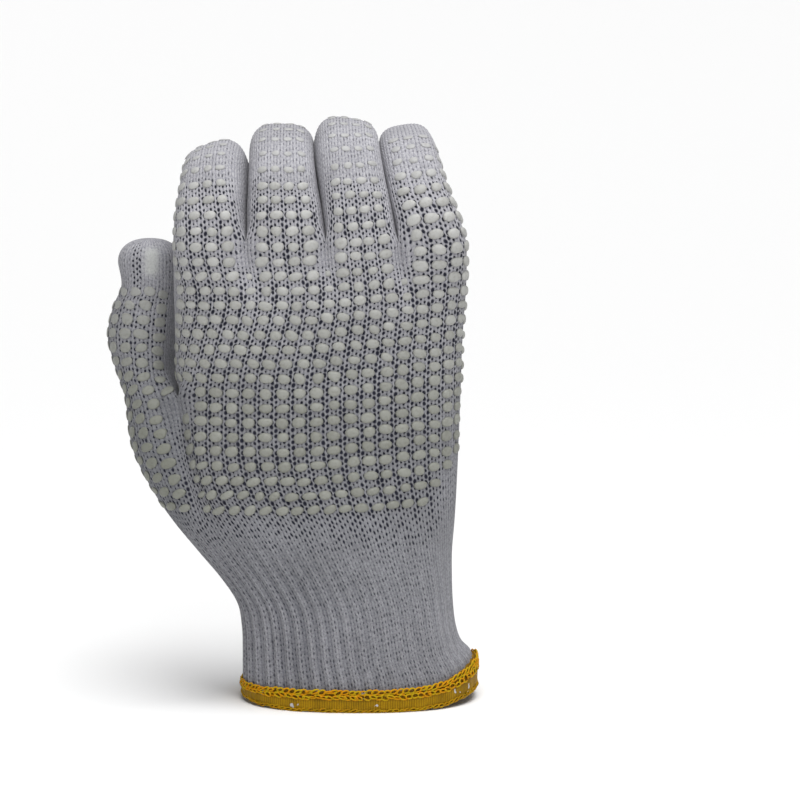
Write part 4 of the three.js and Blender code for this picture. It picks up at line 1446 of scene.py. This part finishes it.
def thread_material(settings):
    """Spun thread: fine fibres in noise and a slow change of shade. The chains are brighter, the
    band has painted shade beneath them and between its threads, and a few bits of white yarn are
    caught in its stitches."""
    g = Graph("overlock_thread")
    fibre, slow, bits, spots = (
        g.noise(*sizes) for sizes in (THREAD_FIBRES, THREAD_SHADES, YARN_BITS, LOOP_SPOTS))
    chain, chain_shade = (g.attribute(name) for name in ("chain", "chain_shade"))
    colour = g.blend(g.ramp(slow, *THREAD_SHADE_RAMP), settings.thread_colour, settings.thread_shade)
    colour = g.tint(g.ramp(fibre, *THREAD_FIBRE_RAMP), colour, THREAD_FIBRE)
    # Painted shade on the band beneath the chains
    colour = g.tint(g.times(chain_shade, CHAIN_SHADE_SHARE), colour, THREAD_CHAIN_SHADE)
    thread = g.math("SINE", g.line(g.stitch()[0], g.times(slow, THREAD_WANDER), 2 * math.pi))
    band = g.less(1.0, chain)
    # Painted shade in the gaps between the band's threads
    between = g.times(g.ramp(thread, *THREAD_GROOVE_RAMP), band)
    colour = g.tint(between, colour, THREAD_GAP_SHADE)
    colour = g.blend(g.times(g.ramp(bits, *YARN_BIT_RAMP), band), colour, settings.yarn_colour)
    chains = g.blend(g.ramp(spots, *LOOP_SPOT_RAMP), settings.chain_colour, settings.chain_light)
    colour = g.blend(chain, colour, chains)
    return g.shade(
        Base_Color=colour, Roughness=g.ramp(fibre, *THREAD_ROUGHNESS), Specular_IOR_Level=0.12,
        Normal=g.bump(g.less(fibre, between), *THREAD_BUMP))


def ready(piece, slot, material, *nodes):
    """A finished piece: it rides on the root, has its material, and hides the parts that it stands for.
    The slot is not used.
    """
    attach(piece, "root")
    if nodes:
        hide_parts(*nodes)
    piece.data.materials.append(material)


def colour_property(name, description, default):
    """A colour setting."""
    return bpy.props.FloatVectorProperty(
        name=name, description=description, default=default, size=3, min=0.0, max=1.0, subtype="COLOR")


def number_property(name, description, default, **kind):
    """A setting that is a number."""
    return bpy.props.FloatProperty(name=name, description=description, default=default, **kind)


def length_property(name, description, default):
    """A length setting, in metres."""
    return number_property(name, description, default, min=0.0, unit="LENGTH")


def angle_property(name, description, degrees):
    """An angle setting."""
    return number_property(name, description, math.radians(degrees), subtype="ANGLE")


class GloveSettings(bpy.types.PropertyGroup):
    """The sizes and colours of the glove."""

    yarn_colour: colour_property("Yarn", "Colour of the clean yarn", (0.495, 0.492, 0.515))
    yarn_shade: colour_property("Yarn shade", "Colour of the darker yarn", (0.39, 0.387, 0.405))
    patch_colour: colour_property("Patch", "Colour of the thumb's worn patch", (0.46, 0.47, 0.445))
    # Painted into the holes: a dark hand form that is not built, and the shade inside the glove
    hole_colour: colour_property("Holes", "Colour seen through the knit's holes", (0.012, 0.013, 0.024))
    dot_colour: colour_property("Dots", "Colour of the lighter grip dots", (0.40, 0.40, 0.39))
    dot_shade: colour_property("Dot shade", "Colour of the darker grip dots", (0.33, 0.33, 0.317))
    dot_flat: colour_property("Flat dots", "Colour of the dots on tight knit", (0.375, 0.375, 0.378))
    thread_colour: colour_property("Thread", "Colour of the hem's thread", (0.39, 0.225, 0.0015))
    thread_shade: colour_property("Thread shade", "Colour of the darker thread", (0.27, 0.155, 0.0015))
    chain_colour: colour_property("Chain", "Colour of the hem's chains of loops", (0.56, 0.24, 0.002))
    chain_light: colour_property("Chain light", "Colour of the yellower loops", (0.46, 0.31, 0.004))
    dot_width: length_property("Dot width", "Size of a dot round the glove", 0.0046)
    dot_length: length_property("Dot length", "Size of a dot along the glove", 0.0034)
    dot_height: length_property("Dot height", "How far a dot stands off the knit", 0.0009)


# What the camera looks at, and where the lights stand, in metres
AIM = (0.0139, 0.0, 0.1017)
PANEL_PLACE = (0.05, -0.35, 0.46)
SUN_PLACE = (0.0, 0.0, 2.0)
SUN_WAY = (-0.12, 0.06, -1.0)
SENSOR_WIDTH = 36.0
FARTHEST = 50.0

# The floor's points in a ring, and the distances of its rings: close ones first, then growing ones
FLOOR_SIDES = 96
FLOOR_FLAT = 0.3
FLOOR_NEAR = (0.1, 0.9, 6)
FLOOR_FAR = (1.0, 30)


class StageSettings(bpy.types.PropertyGroup):
    """The floor, the light and the camera."""

    floor_colour: colour_property("Floor", "Colour of the floor", (0.9, 0.9, 0.9))
    floor_radius: length_property("Floor radius", "Size of the floor", 14.0)
    floor_slope: number_property("Floor slope", "Height at one metre from the flat middle", 0.017)
    light: number_property("Light", "Strength of the overhead light", 2.75)
    softness: angle_property("Softness", "Angle over which the overhead light spreads", 50.0)
    panel_light: number_property("Panel", "Power of the panel of light", 1.2)
    panel_size: length_property("Panel size", "Side of the panel of light", 0.3)
    fill: number_property("Fill", "Strength of the light from all sides", 0.2)
    distance: length_property("Distance", "From the camera to the glove", 0.8)
    lens: number_property("Lens", "Focal length in millimetres", 105.9)
    elevation: angle_property("Elevation", "The camera's angle above the horizon", 5.0)


class GLOVE_OT_cloth(bpy.types.Operator):
    """Builds the knitted cloth: cuff, two parts of the hand, thumb and fingers"""

    bl_idname = "glove.cloth"
    bl_label = "Knitted cloth"

    def execute(self, context):
        skin = finish_skin(build_skin())
        material = knit_material(context.scene.glove)
        cuff_row = skin.patches["body"]["cuff_row"]
        body_last = len(skin.ids("body")) - 1
        hand_last = len(skin.ids("hand")) - 1
        skirts = dict.fromkeys(("thumb",) + FINGER_NAMES, len(heights(0, FORK_SKIRT)) - 1)
        pieces = [
            ("knit_cuff", ("cuff",), [("body", 0, cuff_row)], [("body", 0)], [("body", cuff_row)]),
            ("knit_hand_lower", ("lower_hand",),
             [("body", cuff_row, body_last), ("thumb", 0, skirts["thumb"])],
             [("body", cuff_row)], [("thumb", skirts["thumb"]), ("hand", 0)]),
            ("knit_hand_upper", ("lower_hand", "upper_hand"),
             [("hand", 0, hand_last)] + [(name, 0, skirts[name]) for name in FINGER_NAMES],
             [("hand", 0)], [(name, skirts[name]) for name in FINGER_NAMES]),
        ]
        for name, row in skirts.items():
            last = len(skin.ids(name)) - 1
            pieces.append(("knit_" + name, (name,), [(name, row, last)], [(name, row)], []))
        for name, nodes, spans, low_rims, high_rims in pieces:
            ready(cloth_piece(name, skin, spans, low_rims, high_rims), "knit", material, *nodes)
        return {"FINISHED"}


class GLOVE_OT_grip_dots(bpy.types.Operator):
    """Builds the grip dots on the dotted side of the hand, the thumb and the fingers"""

    bl_idname = "glove.grip_dots"
    bl_label = "Grip dots"

    def execute(self, context):
        settings = context.scene.glove
        material = dot_material(settings)
        sizes = [value / MM for value in (settings.dot_width, settings.dot_length, settings.dot_height)]
        groups = dot_groups(finish_skin(build_skin()))
        for seed, (name, sites) in enumerate(groups.items()):
            ready(dots_mesh("grip_dots_" + name, sites, *sizes, seed), "grip_dots", material)
        return {"FINISHED"}


class GLOVE_OT_hem(bpy.types.Operator):
    """Builds the overlocked hem: its satin band and the chains of loops along its edges"""

    bl_idname = "glove.hem"
    bl_label = "Overlocked hem"

    def execute(self, context):
        material = thread_material(context.scene.glove)
        ready(hem_band("hem_band"), "hem_thread", material, "overlock_hem")
        ready(hem_loops("hem_loops", LOOP_SEED), "hem_thread", material)
        return {"FINISHED"}


def stage_floor(radius, slope, colour):
    """A round, very shallow dish. It is flat at the glove, and its height is the square of the
    distance from there times a factor."""
    turn = turns(FLOOR_SIDES)
    far = np.geomspace(FLOOR_FAR[0], radius, FLOOR_FAR[1])
    reach = np.concatenate([np.linspace(*FLOOR_NEAR), far])
    height = slope * np.maximum(reach - FLOOR_FLAT, 0) ** 2
    rings = np.stack([
        reach[:, None] * np.cos(turn), reach[:, None] * np.sin(turn),
        np.broadcast_to(height[:, None], (len(reach), len(turn))),
    ], axis=-1)
    ids = np.arange(rings.size // 3).reshape(rings.shape[:2])
    middle = np.roll(fan(ids[0], ids.size), 1, axis=1)
    points = np.concatenate([rings.reshape(-1, 3), [[0, 0, 0]]]) / MM
    floor = write_mesh("studio_floor", points, corners(ids).reshape(-1, 4)[:, ::-1], middle)
    g = Graph("studio_paper")
    paper = g.shade(Base_Color=rgba(colour), Roughness=0.9, Specular_IOR_Level=0.1)
    floor.data.materials.append(paper)
    return floor


def set_up(scene, name, data, place, way):
    """A light or a camera at a place, pointed along a direction."""
    thing = bpy.data.objects.new(name, data)
    thing.location = place
    thing.rotation_euler = Vector(way).to_track_quat("-Z", "Y").to_euler()
    scene.collection.objects.link(thing)
    return thing


class GLOVE_OT_stage(bpy.types.Operator):
    """Sets up the pale floor, the soft studio light and the camera"""

    bl_idname = "glove.stage"
    bl_label = "Stage"

    def execute(self, context):
        scene = context.scene
        settings = scene.glove_stage
        stage_floor(settings.floor_radius, settings.floor_slope, settings.floor_colour)
        sun = bpy.data.lights.new("overhead_light", "SUN")
        sun.energy = settings.light
        sun.angle = settings.softness
        set_up(scene, "overhead_light", sun, SUN_PLACE, SUN_WAY)
        panel = bpy.data.lights.new("front_light", "AREA")
        panel.size = settings.panel_size
        panel.energy = settings.panel_light
        lamp = set_up(scene, "front_light", panel, PANEL_PLACE, Vector(AIM) - Vector(PANEL_PLACE))
        lamp.visible_camera = False
        world = bpy.data.worlds.new("studio_air")
        world.use_nodes = True
        background = world.node_tree.nodes["Background"]
        background.inputs["Color"].default_value = (1.0, 1.0, 1.0, 1.0)
        background.inputs["Strength"].default_value = settings.fill
        scene.world = world
        scene.view_settings.view_transform = "Standard"
        data = bpy.data.cameras.new("studio_camera")
        data.lens = settings.lens
        data.sensor_width = SENSOR_WIDTH
        data.clip_end = FARTHEST
        way = Vector((0.0, -math.cos(settings.elevation), math.sin(settings.elevation)))
        place = Vector(AIM) + way * settings.distance
        scene.camera = set_up(scene, "studio_camera", data, place, -way)
        return {"FINISHED"}


class GLOVE_PT_panel(bpy.types.Panel):
    """Lists the steps and their settings"""

    bl_idname = "GLOVE_PT_panel"
    bl_label = "Knit Glove"
    bl_space_type = "VIEW_3D"
    bl_region_type = "UI"
    bl_category = "Glove"

    def draw(self, context):
        for settings in (context.scene.glove, context.scene.glove_stage):
            box = self.layout.box()
            for name in settings.__annotations__:
                box.prop(settings, name)
        for operator in OPERATORS:
            self.layout.operator(operator.bl_idname)


OPERATORS = (GLOVE_OT_cloth, GLOVE_OT_grip_dots, GLOVE_OT_hem, GLOVE_OT_stage)
CLASSES = (GloveSettings, StageSettings, *OPERATORS, GLOVE_PT_panel)


def register():
    """Adds the classes and their settings to Blender."""
    for cls in CLASSES:
        bpy.utils.register_class(cls)
    bpy.types.Scene.glove = bpy.props.PointerProperty(type=GloveSettings)
    bpy.types.Scene.glove_stage = bpy.props.PointerProperty(type=StageSettings)


def unregister():
    """Takes the classes and their settings away again."""
    del bpy.types.Scene.glove_stage
    del bpy.types.Scene.glove
    for cls in reversed(CLASSES):
        bpy.utils.unregister_class(cls)


def main():
    """Builds the glove and its stage."""
    register()
    bpy.ops.glove.cloth()
    bpy.ops.glove.grip_dots()
    bpy.ops.glove.hem()
    bpy.ops.glove.stage()


if __name__ == "__main__":
    main()
